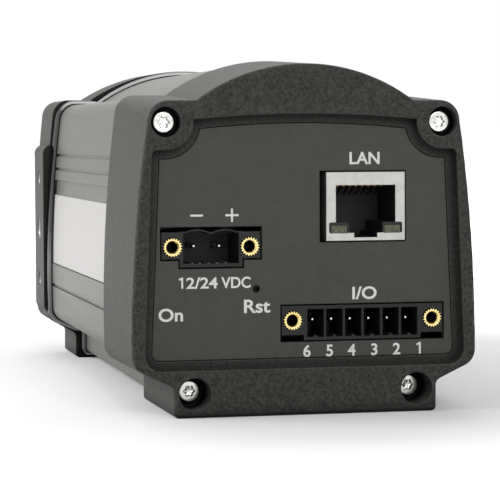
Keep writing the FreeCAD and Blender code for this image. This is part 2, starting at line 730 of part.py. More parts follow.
def housing_corners(side, top, shoulder, base, foot, arch_spread=0):
    """The outline's corners from the left foot round to the right, grown by side, top and shoulder."""
    foot_x = s.foot_half + foot
    foot_z = s.foot_height - as_size(side) * 0.8
    flank_x = s.rim_half + side
    flank_z = s.flank_height - as_size(side) * 0.8
    shoulder_x = s.shoulder_half + shoulder
    shoulder_z = s.shoulder_height + top
    arch_x = s.arch_half + arch_spread
    rise = s.arch_height - s.shoulder_height
    return [
        Corner(-foot_x, base, round=s.foot_round), Corner(foot_x, base, round=s.foot_round),
        Corner(foot_x, foot_z, round=s.foot_fillet), Corner(flank_x, flank_z, rise=s.side_bow, round=s.lower_round),
        Corner(shoulder_x, shoulder_z, round=s.shoulder_round), Corner(arch_x, shoulder_z, rise=rise),
        Corner(-arch_x, shoulder_z), Corner(-shoulder_x, shoulder_z, rise=s.side_bow, round=s.shoulder_round),
        Corner(-flank_x, flank_z, round=s.lower_round), Corner(-foot_x, foot_z, round=s.foot_fillet),
    ]


def bay_corners(inset):
    """The connector bay's outline, moved inwards by inset; the upper screws' bosses hollow its corners."""
    side = s.bay_half - inset
    floor = s.bay_floor + inset
    top_side = s.bay_top_half - inset
    reach = s.boss_radius + inset
    roof = s.bay_roof - inset
    notch = s.upper_screw_z - reach
    drop = s.upper_screw_z - roof
    meet = s.upper_screw_x - root(reach * reach - drop * drop)
    half_chord_squared = ((s.upper_screw_x - meet) * (s.upper_screw_x - meet) + (roof - notch) * (roof - notch)) / 4
    hollow = -(reach - root(reach * reach - half_chord_squared))
    lower = s.bay_round - inset
    notch_round = s.bay_notch_round if as_size(inset).value < s.bay_notch_round.value else None
    return [
        Corner(-side, floor, round=lower), Corner(side, floor, round=lower),
        Corner(top_side, notch, round=notch_round), Corner(s.upper_screw_x, notch, rise=hollow),
        Corner(meet, roof, rise=s.bay_crown), Corner(-meet, roof, rise=hollow),
        Corner(-s.upper_screw_x, notch), Corner(-top_side, notch, round=notch_round),
    ]


SCREWS = [
    (-s.upper_screw_x, s.upper_screw_z), (s.upper_screw_x, s.upper_screw_z),
    (-s.lower_screw_x, s.lower_screw_z), (s.lower_screw_x, s.lower_screw_z),
]


# Rear cover: a drafted casting with the connector bay, the ledge for the panel and four screw holes

def rear_cover():
    body = new_body("rear_bezel")
    rim = housing_corners(side=zero, top=zero, shoulder=zero, base=zero, foot=zero)
    edge = housing_corners(side=s.draft_side, top=s.draft_top, shoulder=s.draft_shoulder, base=zero, foot=s.draft_side)
    rear = section_sketch(body, rim_y)
    outline(rear, rim)
    band = pad(body, rear, s.rim_band)
    round_edges(body, band, s.rim_round, lambda e: crossing(e, rim_y.value))
    drafted = section_sketch(body, rim_y + s.rim_band)
    outline(drafted, rim)
    front = section_sketch(body, bezel_front_y)
    outline(front, edge)
    loft(body, drafted, front)
    sketch = section_sketch(body, rim_y)
    outline(sketch, bay_corners(zero))
    pocket(body, sketch, s.bay_depth)
    sketch = section_sketch(body, panel_y)
    outline(sketch, bay_corners(s.panel_inset))
    pocket(body, sketch, s.panel_thickness + s.seal_thickness)
    sketch = section_sketch(body, ledge_y)
    outline(sketch, bay_corners(s.window_inset))
    pocket(body, sketch, s.ledge_thickness)
    sketch = section_sketch(body, ledge_front_y)
    outline(sketch, bay_corners(zero))
    pocket(body, sketch, bezel_front_y - ledge_front_y)
    sketch = section_sketch(body, ledge_front_y)
    for x in (-s.board_boss_x, s.board_boss_x):
        for z in (s.board_boss_low, s.board_boss_high):
            circle(sketch, x, z, s.board_boss_radius)
    pad(body, sketch, board_y - ledge_front_y)
    sketch = section_sketch(body, board_y - s.board_screw_reach)
    for x in (-s.board_boss_x, s.board_boss_x):
        for z in (s.board_boss_low, s.board_boss_high):
            circle(sketch, x, z, s.board_screw_radius + s.fit_gap)
    pocket(body, sketch, s.board_screw_reach)
    holes = section_sketch(body, rim_y)
    for x, z in SCREWS:
        circle(holes, x, z, s.screw_radius + s.wall_gap)
    pocket(body, holes, s.bezel_depth)
    upper = section_sketch(body, rim_y)
    for x, z in SCREWS[:2]:
        circle(upper, x, z, s.upper_sink_radius)
    pocket(body, upper, s.upper_sink_depth)
    lower = section_sketch(body, rim_y)
    for x, z in SCREWS[2:]:
        circle(lower, x, z, s.lower_sink_radius)
    pocket(body, lower, s.lower_sink_depth)
    return keep(body)


def screw_holes(body, y, length, radius):
    """Four holes at the cover screws' places."""
    sketch = section_sketch(body, y)
    for x, z in SCREWS:
        circle(sketch, x, z, radius)
    pocket(body, sketch, length)


# Connector panel with its openings, and the seal behind it

power_open_half = s.power_half + s.opening_gap
io_open_half = s.io_half + s.opening_gap
jack_left = s.jack_x - s.jack_width / 2
jack_right = s.jack_x + s.jack_width / 2
jack_low = s.jack_z - s.jack_height / 2
jack_high = s.jack_z + s.jack_height / 2


def connector_panel():
    body = new_body("rear_panel")
    sketch = section_sketch(body, panel_y)
    outline(sketch, bay_corners(s.panel_inset + s.wall_gap))
    pad(body, sketch, s.panel_thickness)
    flange_low = s.power_z - s.power_low - s.opening_gap
    step_low = s.power_z - s.power_cavity_low - s.power_wall - s.opening_gap
    step_half = s.power_cavity_half + s.power_wall + s.opening_gap
    high = s.power_z + s.power_cavity_high + s.power_wall + s.power_hump + s.opening_gap
    sketch = section_sketch(body, panel_y)
    outline(sketch, [
        (s.power_x - power_open_half, flange_low), (s.power_x - step_half, flange_low),
        (s.power_x - step_half, step_low), (s.power_x + step_half, step_low),
        (s.power_x + step_half, flange_low), (s.power_x + power_open_half, flange_low),
        (s.power_x + power_open_half, high), (s.power_x - power_open_half, high),
    ])
    pocket(body, sketch, s.panel_thickness)
    sketch = section_sketch(body, panel_y)
    rectangle(sketch, s.io_x - io_open_half, s.io_z - s.io_low - s.opening_gap,
              s.io_x + io_open_half, s.io_z + s.io_flange_high + s.opening_gap)
    pocket(body, sketch, s.panel_thickness)
    sketch = section_sketch(body, panel_y)
    rectangle(sketch, jack_left - s.jack_side_gap, jack_low - s.opening_gap,
              jack_right + s.opening_gap, jack_high + s.opening_gap)
    pocket(body, sketch, s.panel_thickness)
    sketch = section_sketch(body, panel_y)
    circle(sketch, s.reset_x, s.reset_z, s.reset_hole_radius)
    pocket(body, sketch, s.panel_thickness)
    return keep(body)


def panel_seal():
    body = new_body("panel_gasket")
    sketch = section_sketch(body, seal_y)
    outline(sketch, bay_corners(s.panel_inset + s.wall_gap))
    pad(body, sketch, s.seal_thickness)
    sketch = section_sketch(body, seal_y)
    outline(sketch, bay_corners(s.window_inset))
    pocket(body, sketch, s.seal_thickness)
    return keep(body)


# Power header: a two-way socket with scalloped top and a threaded brass nut at each end

def power_header():
    body = new_body("power_header_housing")
    length = board_y - header_y
    sketch = section_sketch(body, header_y, s.power_x, s.power_z)
    rectangle(sketch, -s.power_half, -s.power_low, s.power_half, s.power_high)
    pad(body, sketch, length)
    half = s.power_cavity_half + s.power_wall
    top = s.power_cavity_high + s.power_wall
    sketch = section_sketch(body, header_y, s.power_x, s.power_z)
    outline(sketch, [
        (-half, -s.power_cavity_low - s.power_wall), (half, -s.power_cavity_low - s.power_wall), (half, top),
        Corner(half * 0.8, top, rise=s.power_hump), Corner(0, top - s.power_hump / 2, rise=s.power_hump),
        (-half * 0.8, top), (-half, top),
    ])
    pad(body, sketch, length)
    sketch = section_sketch(body, header_y, s.power_x, s.power_z)
    rectangle(sketch, -s.power_cavity_half, -s.power_cavity_low, s.power_cavity_half, s.power_cavity_high)
    pocket(body, sketch, s.socket_depth)
    sketch = section_sketch(body, header_y, s.power_x, s.power_z)
    for side in (-1, 1):
        circle(sketch, s.power_nut_offset * side, 0, s.nut_radius + s.fit_gap)
    pocket(body, sketch, s.nut_length - s.nut_proud)
    pin_holes(body, s.power_x, s.power_z, s.power_pitch, 2, length)
    return keep(body)


def pin_places(pitch, count):
    return [pitch * (number - (count - 1) / 2) for number in range(count)]


def pin_holes(body, x, z, pitch, count, length):
    """Holes for the pins through the floor of a header."""
    reach = s.pin_half + s.fit_gap
    for place_x in pin_places(pitch, count):
        sketch = section_sketch(body, header_y + s.socket_depth, x, z)
        rectangle(sketch, place_x - reach, -reach, place_x + reach, reach)
        pocket(body, sketch, length - s.socket_depth)


def pins(name, x, z, pitch, count, recess):
    pieces = []
    for number, place_x in enumerate(pin_places(pitch, count), start=1):
        front = header_y + recess
        pieces.append(block(f"{name}_{number}", x + place_x - s.pin_half, front, z - s.pin_half,
                            s.pin_half * 2, board_y - front, s.pin_half * 2))
    return keep(group(name, pieces))


def flange_nuts(name, x, z, offset):
    """Two knurled brass nuts with a threaded bore."""
    pieces = []
    for side in (-1, 1):
        body = new_body(f"{name}_{'left' if side < 0 else 'right'}")
        sketch = section_sketch(body, header_y - s.nut_proud, x + offset * side, z)
        teeth = 16
        points = []
        for number in range(teeth * 2):
            angle = math.pi * number / teeth
            radius = s.nut_radius - (s.knurl_depth if number % 2 else zero)
            points.append((radius * math.cos(angle), radius * math.sin(angle)))
        outline(sketch, points)
        circle(sketch, 0, 0, s.nut_bore)
        pad(body, sketch, s.nut_length)
        pieces.append(body)
    return keep(group(name, pieces))


# Input and output header: six narrow sockets in a row, each with a keyed floor

def io_header():
    body = new_body("io_header_housing")
    length = board_y - header_y
    ways = 6
    half = s.io_pitch * ways / 2 + s.io_rib
    sketch = section_sketch(body, header_y, s.io_x, s.io_z)
    rectangle(sketch, -half, -s.io_low, half, s.io_high)
    pad(body, sketch, length)
    sketch = section_sketch(body, header_y, s.io_x, s.io_z)
    rectangle(sketch, -s.io_half, -s.io_flange_low, s.io_half, s.io_flange_high)
    pad(body, sketch, length)
    reach = (s.io_pitch - s.io_rib) / 2
    for place_x in pin_places(s.io_pitch, ways):
        sketch = section_sketch(body, header_y, s.io_x + place_x, s.io_z)
        outline(sketch, [
            (-reach, -s.io_socket_low), (-s.key_half, -s.io_socket_low), (0, s.key_half - s.io_socket_low),
            (s.key_half, -s.io_socket_low), (reach, -s.io_socket_low), (reach, s.io_socket_high),
            (-reach, s.io_socket_high),
        ])
        pocket(body, sketch, s.socket_depth)
    sketch = section_sketch(body, header_y, s.io_x, s.io_z)
    for side in (-1, 1):
        circle(sketch, s.io_nut_offset * side, 0, s.nut_radius + s.fit_gap)
    pocket(body, sketch, s.nut_length - s.nut_proud)
    pin_holes(body, s.io_x, s.io_z, s.io_pitch, ways, length)
    return keep(body)


# Network jack: folded shield, plastic insert, eight sprung contacts and two lamp windows

jack_y = panel_y - s.jack_proud
insert_y = jack_y + s.jack_sheet


def plug_corners():
    """The stepped plug opening, about the jack's middle, with the latch recess below."""
    middle_half = s.lamp_offset - s.lamp_width / 2 - s.jack_rib
    middle_floor = -s.lamp_drop
    return [
        (-s.latch_half, -s.latch_floor), (s.latch_half, -s.latch_floor), (s.latch_half, middle_floor),
        (middle_half, middle_floor), (middle_half, -s.plug_floor), (s.plug_half, -s.plug_floor),
        (s.plug_half, s.plug_roof), (-s.plug_half, s.plug_roof), (-s.plug_half, -s.plug_floor),
        (-middle_half, -s.plug_floor), (-middle_half, middle_floor), (-s.latch_half, middle_floor),
    ]


def lamp_rectangle(sketch, side, gap):
    low = -s.lamp_drop - gap
    inner = s.lamp_offset - s.lamp_width / 2 - gap
    outer = s.lamp_offset + s.lamp_width / 2 + gap
    left, right = (inner, outer) if side > 0 else (-outer, -inner)
    rectangle(sketch, left, low, right, low + s.lamp_height + gap * 2)


def network_jack():
    shield = new_body("network_jack_shield")
    half_width, half_height = s.jack_width / 2, s.jack_height / 2
    sketch = section_sketch(shield, jack_y, s.jack_x, s.jack_z)
    rectangle(sketch, -half_width, -half_height, half_width, half_height)
    pad(shield, sketch, board_y - jack_y)
    sketch = section_sketch(shield, insert_y, s.jack_x, s.jack_z)
    inner_half, inner_high = half_width - s.jack_sheet, half_height - s.jack_sheet
    rectangle(sketch, -inner_half, -inner_high, inner_half, inner_high)
    pocket(shield, sketch, board_y - insert_y)
    sketch = section_sketch(shield, jack_y, s.jack_x, s.jack_z)
    outline(sketch, plug_corners())
    pocket(shield, sketch, s.jack_sheet)
    for side in (-1, 1):
        sketch = section_sketch(shield, jack_y, s.jack_x, s.jack_z)
        lamp_rectangle(sketch, side, s.fit_gap)
        pocket(shield, sketch, s.jack_sheet)
    keep(shield)
    insert = new_body("network_jack_insert")
    sketch = section_sketch(insert, insert_y, s.jack_x, s.jack_z)
    rectangle(sketch, s.fit_gap - inner_half, s.fit_gap - inner_high, inner_half - s.fit_gap, inner_high - s.fit_gap)
    pad(insert, sketch, board_y - insert_y)
    sketch = section_sketch(insert, insert_y, s.jack_x, s.jack_z)
    outline(sketch, plug_corners())
    pocket(insert, sketch, s.plug_depth)
    for side in (-1, 1):
        sketch = section_sketch(insert, insert_y, s.jack_x, s.jack_z)
        lamp_rectangle(sketch, side, s.fit_gap)
        pocket(insert, sketch, s.lamp_length - s.jack_sheet)
    keep(insert)
    windows = []
    for side in (-1, 1):
        body = new_body(f"lamp_window_{'left' if side < 0 else 'right'}")
        sketch = section_sketch(body, jack_y, s.jack_x, s.jack_z)
        lamp_rectangle(sketch, side, zero)
        pad(body, sketch, s.lamp_length)
        windows.append(body)
    keep(group("network_jack_windows", windows))
    contacts = []
    roof = s.plug_roof
    tip = s.plug_roof - s.contact_drop
    sheet_depth = s.contact_width
    front, back = s.plug_depth * 0.25, s.plug_depth * 0.85
    for number in range(8):
        body = new_body(f"network_contact_{number + 1}")
        sketch = side_sketch(body, insert_y, s.jack_z, s.jack_x + s.contact_pitch * (number - 3.5) - s.contact_width / 2)
        outline(sketch, [
            (front, roof - sheet_depth), (front + s.contact_drop, roof - sheet_depth), (back, tip - sheet_depth),
            (back, tip), (front + s.contact_drop, roof), (front, roof),
        ])
        pad(body, sketch, s.contact_width, forward=False)
        contacts.append(body)
    keep(group("network_jack_contacts", contacts))


# Interface board behind the panel, its screws, and the reset switch with its moving button

board_front_y = board_y + s.board_thickness


def interface_board():
    body = new_body("interface_board")
    half = s.bay_top_half - s.board_margin
    sketch = section_sketch(body, board_y)
    rectangle(sketch, -half, s.bay_floor + s.board_margin, half, s.upper_screw_z - s.boss_radius - s.board_margin)
    pad(body, sketch, s.board_thickness)
    sketch = section_sketch(body, board_y)
    for x in (-s.board_boss_x, s.board_boss_x):
        for z in (s.board_boss_low, s.board_boss_high):
            circle(sketch, x, z, s.board_screw_radius + s.fit_gap)
    pocket(body, sketch, s.board_thickness)
    keep(body)
    pieces = []
    for side in (-1, 1):
        for level, z in (("low", s.board_boss_low), ("high", s.board_boss_high)):
            name = f"board_screw_{'left' if side < 0 else 'right'}_{level}"
            reach = s.board_screw_reach - s.side_gap + s.board_thickness
            shank = rod(f"{name}_shank", s.board_boss_x * side, board_front_y - reach, z, s.board_screw_radius, reach)
            head = rod(f"{name}_head", s.board_boss_x * side, board_front_y, z, s.board_screw_head,
                       s.board_screw_radius)
            pieces.append(fuse(name, [shank, head]))
    keep(group("board_screws", pieces))


def reset_switch():
    case_y = board_y - s.reset_case_depth
    half = s.reset_case / 2
    case = block("reset_case", s.reset_x - half, case_y, s.reset_z - half, s.reset_case, s.reset_case_depth,
                 s.reset_case)
    guide = rod("reset_guide", s.reset_x, case_y, s.reset_z, s.reset_button_radius + s.bearing_gap,
                s.reset_engagement + s.reset_travel + s.side_gap)
    keep(cut("reset_switch", case, guide))
    front = seal_y + s.reset_room
    button = rod("reset_plunger", s.reset_x, front, s.reset_z, s.reset_button_radius,
                 case_y + s.reset_engagement - front)
    button.Label = "reset_plunger"
    keep(button)


# Extruded housing: screw ports, card rails, side grooves and a shallow bed for the label

body_side = -s.skin_step
body_shoulder = s.draft_shoulder - s.skin_step
body_top = s.draft_top - s.skin_step_top


def body_corners(swell=zero):
    return housing_corners(side=body_side + swell, top=body_top + swell, shoulder=body_shoulder + swell,
                           base=s.body_lift - swell, foot=body_side + swell)


def side_at(z):
    """Distance from the middle to the extrusion's side at height z."""
    low_x, low_z = s.rim_half + body_side, s.flank_height - body_side * 0.8
    high_x, high_z = s.shoulder_half + body_shoulder, s.shoulder_height + body_top
    share = (z - low_z) / (high_z - low_z)
    return low_x - (low_x - high_x) * share + s.side_bow * 4 * share * (1 - share)


def bore_corners():
    """The inside of the extrusion, with the upper screw ports in its corners."""
    floor = s.lower_screw_z + s.port_radius
    foot = s.foot_half + body_side - s.body_wall
    side = s.rim_half + body_side - s.body_wall
    flank = s.flank_height - body_side * 0.8 + s.body_wall
    port = s.port_radius
    notch = s.upper_screw_z - port
    top_side = side_at(notch) - s.body_wall
    hollow = port * (math.sqrt(0.5) - 1)
    ceiling = s.shoulder_height + body_top - s.body_wall
    arch = s.arch_half - s.body_wall / 2
    rise = s.arch_height - s.shoulder_height
    return [
        (-foot, floor), (foot, floor), Corner(side, flank, rise=s.side_bow), (top_side, notch),
        Corner(s.upper_screw_x, notch, rise=hollow), (s.upper_screw_x - port, s.upper_screw_z),
        (s.upper_screw_x - port, ceiling), Corner(arch, ceiling, rise=rise), (-arch, ceiling),
        (port - s.upper_screw_x, ceiling), Corner(port - s.upper_screw_x, s.upper_screw_z, rise=hollow),
        (-s.upper_screw_x, notch), Corner(-top_side, notch, rise=s.side_bow), (-side, flank),
    ]


def extruded_body():
    body = new_body("body_extrusion")
    sketch = section_sketch(body, body_rear_y)
    outline(sketch, body_corners())
    pad(body, sketch, s.body_length)
    sketch = section_sketch(body, body_rear_y)
    outline(sketch, bore_corners())
    pocket(body, sketch, s.body_length)
    screw_holes(body, body_rear_y, s.body_length, s.screw_radius + s.fit_gap)
    inner = s.board_half - s.rail_reach
    for board_z in (s.power_board_z, s.processor_board_z):
        outer = side_at(board_z) - s.body_wall / 2
        for low in (board_z - s.rail_thickness, board_z + s.board_thickness + s.wall_gap):
            sketch = section_sketch(body, body_rear_y)
            rectangle(sketch, -outer, low, -inner, low + s.rail_thickness)
            rectangle(sketch, inner, low, outer, low + s.rail_thickness)
            pad(body, sketch, s.body_length)
    proud = s.body_wall
    for middle in (s.groove_upper, s.groove_middle, s.groove_lower):
        low, high = middle - s.groove_width / 2, middle + s.groove_width / 2
        reach = side_at(middle) - s.groove_depth
        sketch = section_sketch(body, body_rear_y)
        rectangle(sketch, -reach - proud, low, -reach, high)
        rectangle(sketch, reach, low, reach + proud, high)
        pocket(body, sketch, s.body_length)
    for side in (-1, 1):
        sketch = section_sketch(body, body_rear_y)
        label_bed(sketch, side, s.bed_bottom, s.bed_top, -s.bed_depth, proud)
        pocket(body, sketch, s.body_length)
    return keep(body)


def label_bed(sketch, side, low, high, inner, outer):
    """A strip that follows the side's bow between two heights; inner and outer count from its surface."""
    share = (high - low) / (s.shoulder_height - s.flank_height)
    rise = s.side_bow * share * share
    inner_low, inner_high = side_at(low) + inner, side_at(high) + inner
    outer_low, outer_high = side_at(low) + outer, side_at(high) + outer
    if side > 0:
        outline(sketch, [
            (inner_low, low), Corner(outer_low, low, rise=rise), (outer_high, high),
            Corner(inner_high, high, rise=-rise),
        ])
    else:
        outline(sketch, [
            Corner(-inner_low, low, rise=-rise), (-inner_high, high),
            Corner(-outer_high, high, rise=rise), (-outer_low, low),
        ])


def side_label():
    body = new_body("side_label")
    sketch = section_sketch(body, body_rear_y + s.wall_gap)
    label_bed(sketch, -1, s.bed_bottom + s.wall_gap, s.label_top, -s.bed_depth, s.label_thickness - s.bed_depth)
    pad(body, sketch, s.body_length - s.wall_gap * 2)
    return keep(body)


def rear_gasket():
    body = new_body("rear_gasket")
    sketch = section_sketch(body, bezel_front_y)
    outline(sketch, body_corners(-s.seal_thickness))
    pad(body, sketch, s.gasket_depth)
    sketch = section_sketch(body, bezel_front_y)
    outline(sketch, bore_corners())
    pocket(body, sketch, s.gasket_depth)
    screw_holes(body, bezel_front_y, s.gasket_depth, s.screw_radius + s.wall_gap)
    return keep(body)


def front_collar():
    body = new_body("front_collar")
    sketch = section_sketch(body, body_front_y)
    outline(sketch, body_corners(s.collar_swell))
    pad(body, sketch, s.collar_depth)
    sketch = section_sketch(body, body_front_y)
    outline(sketch, bore_corners())
    pocket(body, sketch, s.collar_depth)
    screw_holes(body, body_front_y, s.collar_depth, s.screw_radius + s.wall_gap)
    return keep(body)


# Front casting: mounting pads on both sides and a foot below, each with one tripod and two M4 threads

pad_middle_y = casting_rear_y + s.pad_length / 2
inner_wall_y = casting_front_y - s.cap_floor


def front_casting():
    body = new_body("front_casting")
    sketch = section_sketch(body, casting_rear_y)
    outline(sketch, housing_corners(side=zero, top=s.draft_top + s.cap_step, shoulder=s.draft_shoulder + s.cap_step,
                                    base=zero, foot=s.cap_step * 2, arch_spread=s.cap_arch_spread))
    block_pad = pad(body, sketch, s.casting_depth)
    round_edges(body, block_pad, s.cap_round, lambda e: crossing(e, casting_front_y.value))
    root_x = s.rim_half - s.pad_root
    for side in (-1, 1):
        sketch = section_sketch(body, casting_rear_y)
        if side > 0:
            outline(sketch, [
                (root_x, s.pad_bottom), Corner(s.pad_half, s.pad_bottom, round=s.pad_round),
                Corner(s.pad_half, s.pad_top, round=s.pad_round), (root_x, s.pad_top),
            ])
        else:
            outline(sketch, [
                Corner(-s.pad_half, s.pad_bottom, round=s.pad_round), (-root_x, s.pad_bottom),
                (-root_x, s.pad_top), Corner(-s.pad_half, s.pad_top, round=s.pad_round),
            ])
        pad(body, sketch, s.pad_length)
    sketch = section_sketch(body, casting_rear_y)
    outline(sketch, [Corner(x, z, round=s.well_round) for x, z in (
        (-s.well_half, s.well_bottom), (s.well_half, s.well_bottom),
        (s.well_half, s.well_top), (-s.well_half, s.well_top))])
    pocket(body, sketch, inner_wall_y - casting_rear_y)
    sketch = section_sketch(body, inner_wall_y)
    circle(sketch, 0, s.lens_height, s.barrel_radius + s.lens_bore_gap)
    pocket(body, sketch, s.cap_floor)
    sketch = section_sketch(body, inner_wall_y, 0, s.lens_height)
    for x, z in barrel_screw_places():
        circle(sketch, x, z, s.barrel_screw_radius + s.fit_gap)
    pocket(body, sketch, s.cap_floor)
    screw_holes(body, casting_rear_y, s.casting_depth, s.screw_radius + s.wall_gap)
    screw_holes(body, casting_front_y - s.front_sink_depth, s.front_sink_depth, s.screw_head_radius + s.head_gap)
    for side in (-1, 1):
        tripod = side_sketch(body, pad_middle_y, s.pad_holes_z, s.pad_half * side)
        circle(tripod, 0, 0, s.tripod_radius)
        pocket(body, tripod, s.tripod_depth, forward=side > 0)
        bolts = side_sketch(body, pad_middle_y, s.pad_holes_z, s.pad_half * side)
        for place_z in (-s.bolt_spacing / 2, s.bolt_spacing / 2):
            circle(bolts, 0, place_z, s.bolt_radius)
        pocket(body, bolts, s.bolt_depth, forward=side > 0)
    tripod = plan_sketch(body, zero, 0, pad_middle_y)
    circle(tripod, 0, 0, s.tripod_radius)
    pocket(body, tripod, s.tripod_depth, forward=False)
    bolts = plan_sketch(body, zero, 0, pad_middle_y)
    for place_x in (-s.bolt_spacing / 2, s.bolt_spacing / 2):
        circle(bolts, place_x, 0, s.bolt_radius)
    pocket(body, bolts, s.bolt_depth, forward=False)
    return keep(body)


def barrel_screw_places():
    """The flange screws of the outer barrel, about the lens axis."""
    reach = s.barrel_screw_ring
    return [(reach * math.cos(a), reach * math.sin(a)) for a in (math.pi / 4 + math.pi / 2 * n for n in range(4))]


# Housing screws: round heads with a hexalobular drive

def lobes(sketch):
    """The hexalobular drive: six arcs that bulge out of a hexagon."""
    hexagon = s.drive_radius * 0.74
    points = [Corner(hexagon * math.cos(math.pi / 3 * n), hexagon * math.sin(math.pi / 3 * n),
                     rise=s.drive_radius * 0.32) for n in range(6)]
    outline(sketch, points)


def housing_screw(name, x, z, seat_y, end_y, facing):
    """One screw; facing is -1 for a head towards -Y and 1 for a head towards +Y."""
    body = new_body(name)
    rearward = facing < 0
    head = section_sketch(body, seat_y, x, z)
    circle(head, 0, 0, s.screw_head_radius)
    pad(body, head, s.screw_head_height, forward=not rearward)
    shank = section_sketch(body, seat_y, x, z)
    circle(shank, 0, 0, s.screw_radius)
    pad(body, shank, end_y - seat_y if rearward else seat_y - end_y, forward=rearward)
    top_y = seat_y + s.screw_head_height * facing
    drive = section_sketch(body, top_y, x, z)
    lobes(drive)
    pocket(body, drive, s.drive_depth, forward=rearward)
    return body


def housing_screws():
    rear = []
    for number, (x, z) in enumerate(SCREWS, start=1):
        depth = s.upper_sink_depth if number < 3 else s.lower_sink_depth
        rear.append(housing_screw(f"cover_screw_{number}", x, z, rim_y + depth, body_rear_y + s.screw_reach, -1))
    keep(group("cover_screws", rear))
    front = []
    for number, (x, z) in enumerate(SCREWS, start=1):
        seat = casting_front_y - s.front_sink_depth
        front.append(housing_screw(f"front_screw_{number}", x, z, seat, body_front_y - s.screw_reach, 1))
    keep(group("front_screws", front))


# Lens: fixed outer barrel, focusing cell with two lenses, retaining ring and front ring

barrel_bore = s.barrel_radius - s.barrel_wall
ring_front_y = inner_wall_y - s.side_gap
gear_front_y = ring_front_y - s.journal_length
gear_rear_y = gear_front_y - s.gear_face
plate_front_y = gear_rear_y - s.side_gap
plate_rear_y = plate_front_y - s.gear_plate_thickness
cell_rear_y = inner_wall_y + s.cell_start
ring_seat_y = lens_front_y - s.front_ring_depth
cell_front_y = ring_seat_y - s.focus_travel - s.cell_end_gap
cell_radius = barrel_bore - s.cell_gap
lens_seat_radius = cell_radius - s.cell_wall
front_seat_y = cell_front_y - s.retainer_depth - s.front_lens_depth
tail_rear_y = plate_rear_y - s.side_gap
tail_bore = s.tail_radius - s.tail_wall
rear_seat_y = tail_rear_y + s.lens_set_back + s.rear_lens_depth
seal_groove_y = ring_seat_y - s.seal_thickness


def outer_barrel():
    body = turned("lens_barrel", [
        (inner_wall_y, barrel_bore), (inner_wall_y, s.barrel_radius), (casting_front_y, s.barrel_radius),
        (casting_front_y, s.flange_radius), (casting_front_y + s.flange_thickness, s.flange_radius),
        (casting_front_y + s.flange_thickness, s.barrel_radius), (seal_groove_y, s.barrel_radius),
        (seal_groove_y, barrel_bore),
    ])
    sketch = section_sketch(body, casting_front_y, 0, s.lens_height)
    for x, z in barrel_screw_places():
        circle(sketch, x, z, s.barrel_screw_radius + s.fit_gap)
    pocket(body, sketch, s.flange_thickness)
    sketch = section_sketch(body, casting_front_y + s.flange_thickness - s.barrel_screw_sink, 0, s.lens_height)
    for x, z in barrel_screw_places():
        circle(sketch, x, z, s.barrel_screw_head + s.wall_gap)
    pocket(body, sketch, s.barrel_screw_sink)
    keep(body)
    pieces = []
    seat = casting_front_y + s.flange_thickness - s.barrel_screw_sink
    for number, (x, z) in enumerate(barrel_screw_places(), start=1):
        shank = rod(f"barrel_screw_{number}_shank", x, inner_wall_y, s.lens_height + z, s.barrel_screw_radius,
                    seat - inner_wall_y)
        head = rod(f"barrel_screw_{number}_head", x, seat, s.lens_height + z, s.barrel_screw_head,
                   s.barrel_screw_sink)
        pieces.append(fuse(f"barrel_screw_{number}", [shank, head]))
    keep(group("barrel_screws", pieces))
    keep(turned("front_ring_seal", [
        (seal_groove_y, barrel_bore), (seal_groove_y, s.barrel_radius - s.seal_thickness),
        (ring_seat_y, s.barrel_radius - s.seal_thickness), (ring_seat_y, barrel_bore),
    ]))
    lip = s.barrel_radius + s.front_ring_lip
    keep(turned("front_ring", [
        (ring_seat_y, s.front_ring_hole), (ring_seat_y, lip), (lens_front_y - s.front_ring_lip, lip),
        (lens_front_y, s.barrel_radius), (lens_front_y, s.front_ring_hole + s.front_ring_depth * 0.8),
        (ring_seat_y + s.seal_thickness, s.front_ring_hole),
    ]))


def focusing_cell():
    body = turned("lens_cell", [
        (tail_rear_y, tail_bore), (tail_rear_y, s.tail_radius), (cell_rear_y, s.tail_radius),
        (cell_rear_y, cell_radius), (cell_front_y, cell_radius), (cell_front_y, lens_seat_radius),
        (front_seat_y, lens_seat_radius), (front_seat_y, lens_seat_radius - s.lens_seat),
        (cell_rear_y + s.cell_floor, lens_seat_radius - s.lens_seat), (cell_rear_y + s.cell_floor, tail_bore - s.lens_seat),
        (rear_seat_y, tail_bore - s.lens_seat), (rear_seat_y, tail_bore),
    ])
    sketch = section_sketch(body, cell_rear_y, 0, s.lens_height)
    for side in (-1, 1):
        circle(sketch, s.guide_ring * side, 0, s.guide_radius + s.bearing_gap)
    pocket(body, sketch, s.guide_length + s.side_gap)
    keep(body)
    radius = lens_seat_radius - s.fit_gap
    crown = s.front_lens_crown
    curve = (radius * radius + crown * crown) / (crown * 2)
    blank = rod("front_lens_blank", 0, front_seat_y, s.lens_height, radius, s.front_lens_depth + crown)
    ball = doc.addObject("Part::Sphere", "front_lens_curve")
    bind(ball, Radius=curve)
    place(ball, zero, front_seat_y + s.front_lens_depth + crown - curve, s.lens_height)
    lens = doc.addObject("Part::Common", "front_lens")
    lens.Base, lens.Tool = blank, ball
    lens.Label = "front_lens"
    keep(lens)
    keep(turned("lens_retaining_ring", [
        (front_seat_y + s.front_lens_depth + crown * 0.16, radius - s.lens_seat),
        (front_seat_y + s.front_lens_depth, radius),
        (cell_front_y, radius), (cell_front_y, radius - s.lens_seat * 0.6),
    ]))
    keep(turned("rear_lens", [
        (rear_seat_y - s.rear_lens_depth, 0), (rear_seat_y - s.rear_lens_depth, tail_bore - s.fit_gap),
        (rear_seat_y, tail_bore - s.fit_gap), (rear_seat_y, 0),
    ]))


# Focus drive: toothed focus ring in its carrier, pinion, motor, guide pins and the plate behind them

pitch_radius = s.gear_module * s.ring_teeth / 2
pinion_pitch_radius = s.gear_module * s.pinion_teeth / 2
mesh_distance = pitch_radius + pinion_pitch_radius
pinion_x = mesh_distance * math.sqrt(0.5)
pinion_z = s.lens_height + mesh_distance * math.sqrt(0.5)


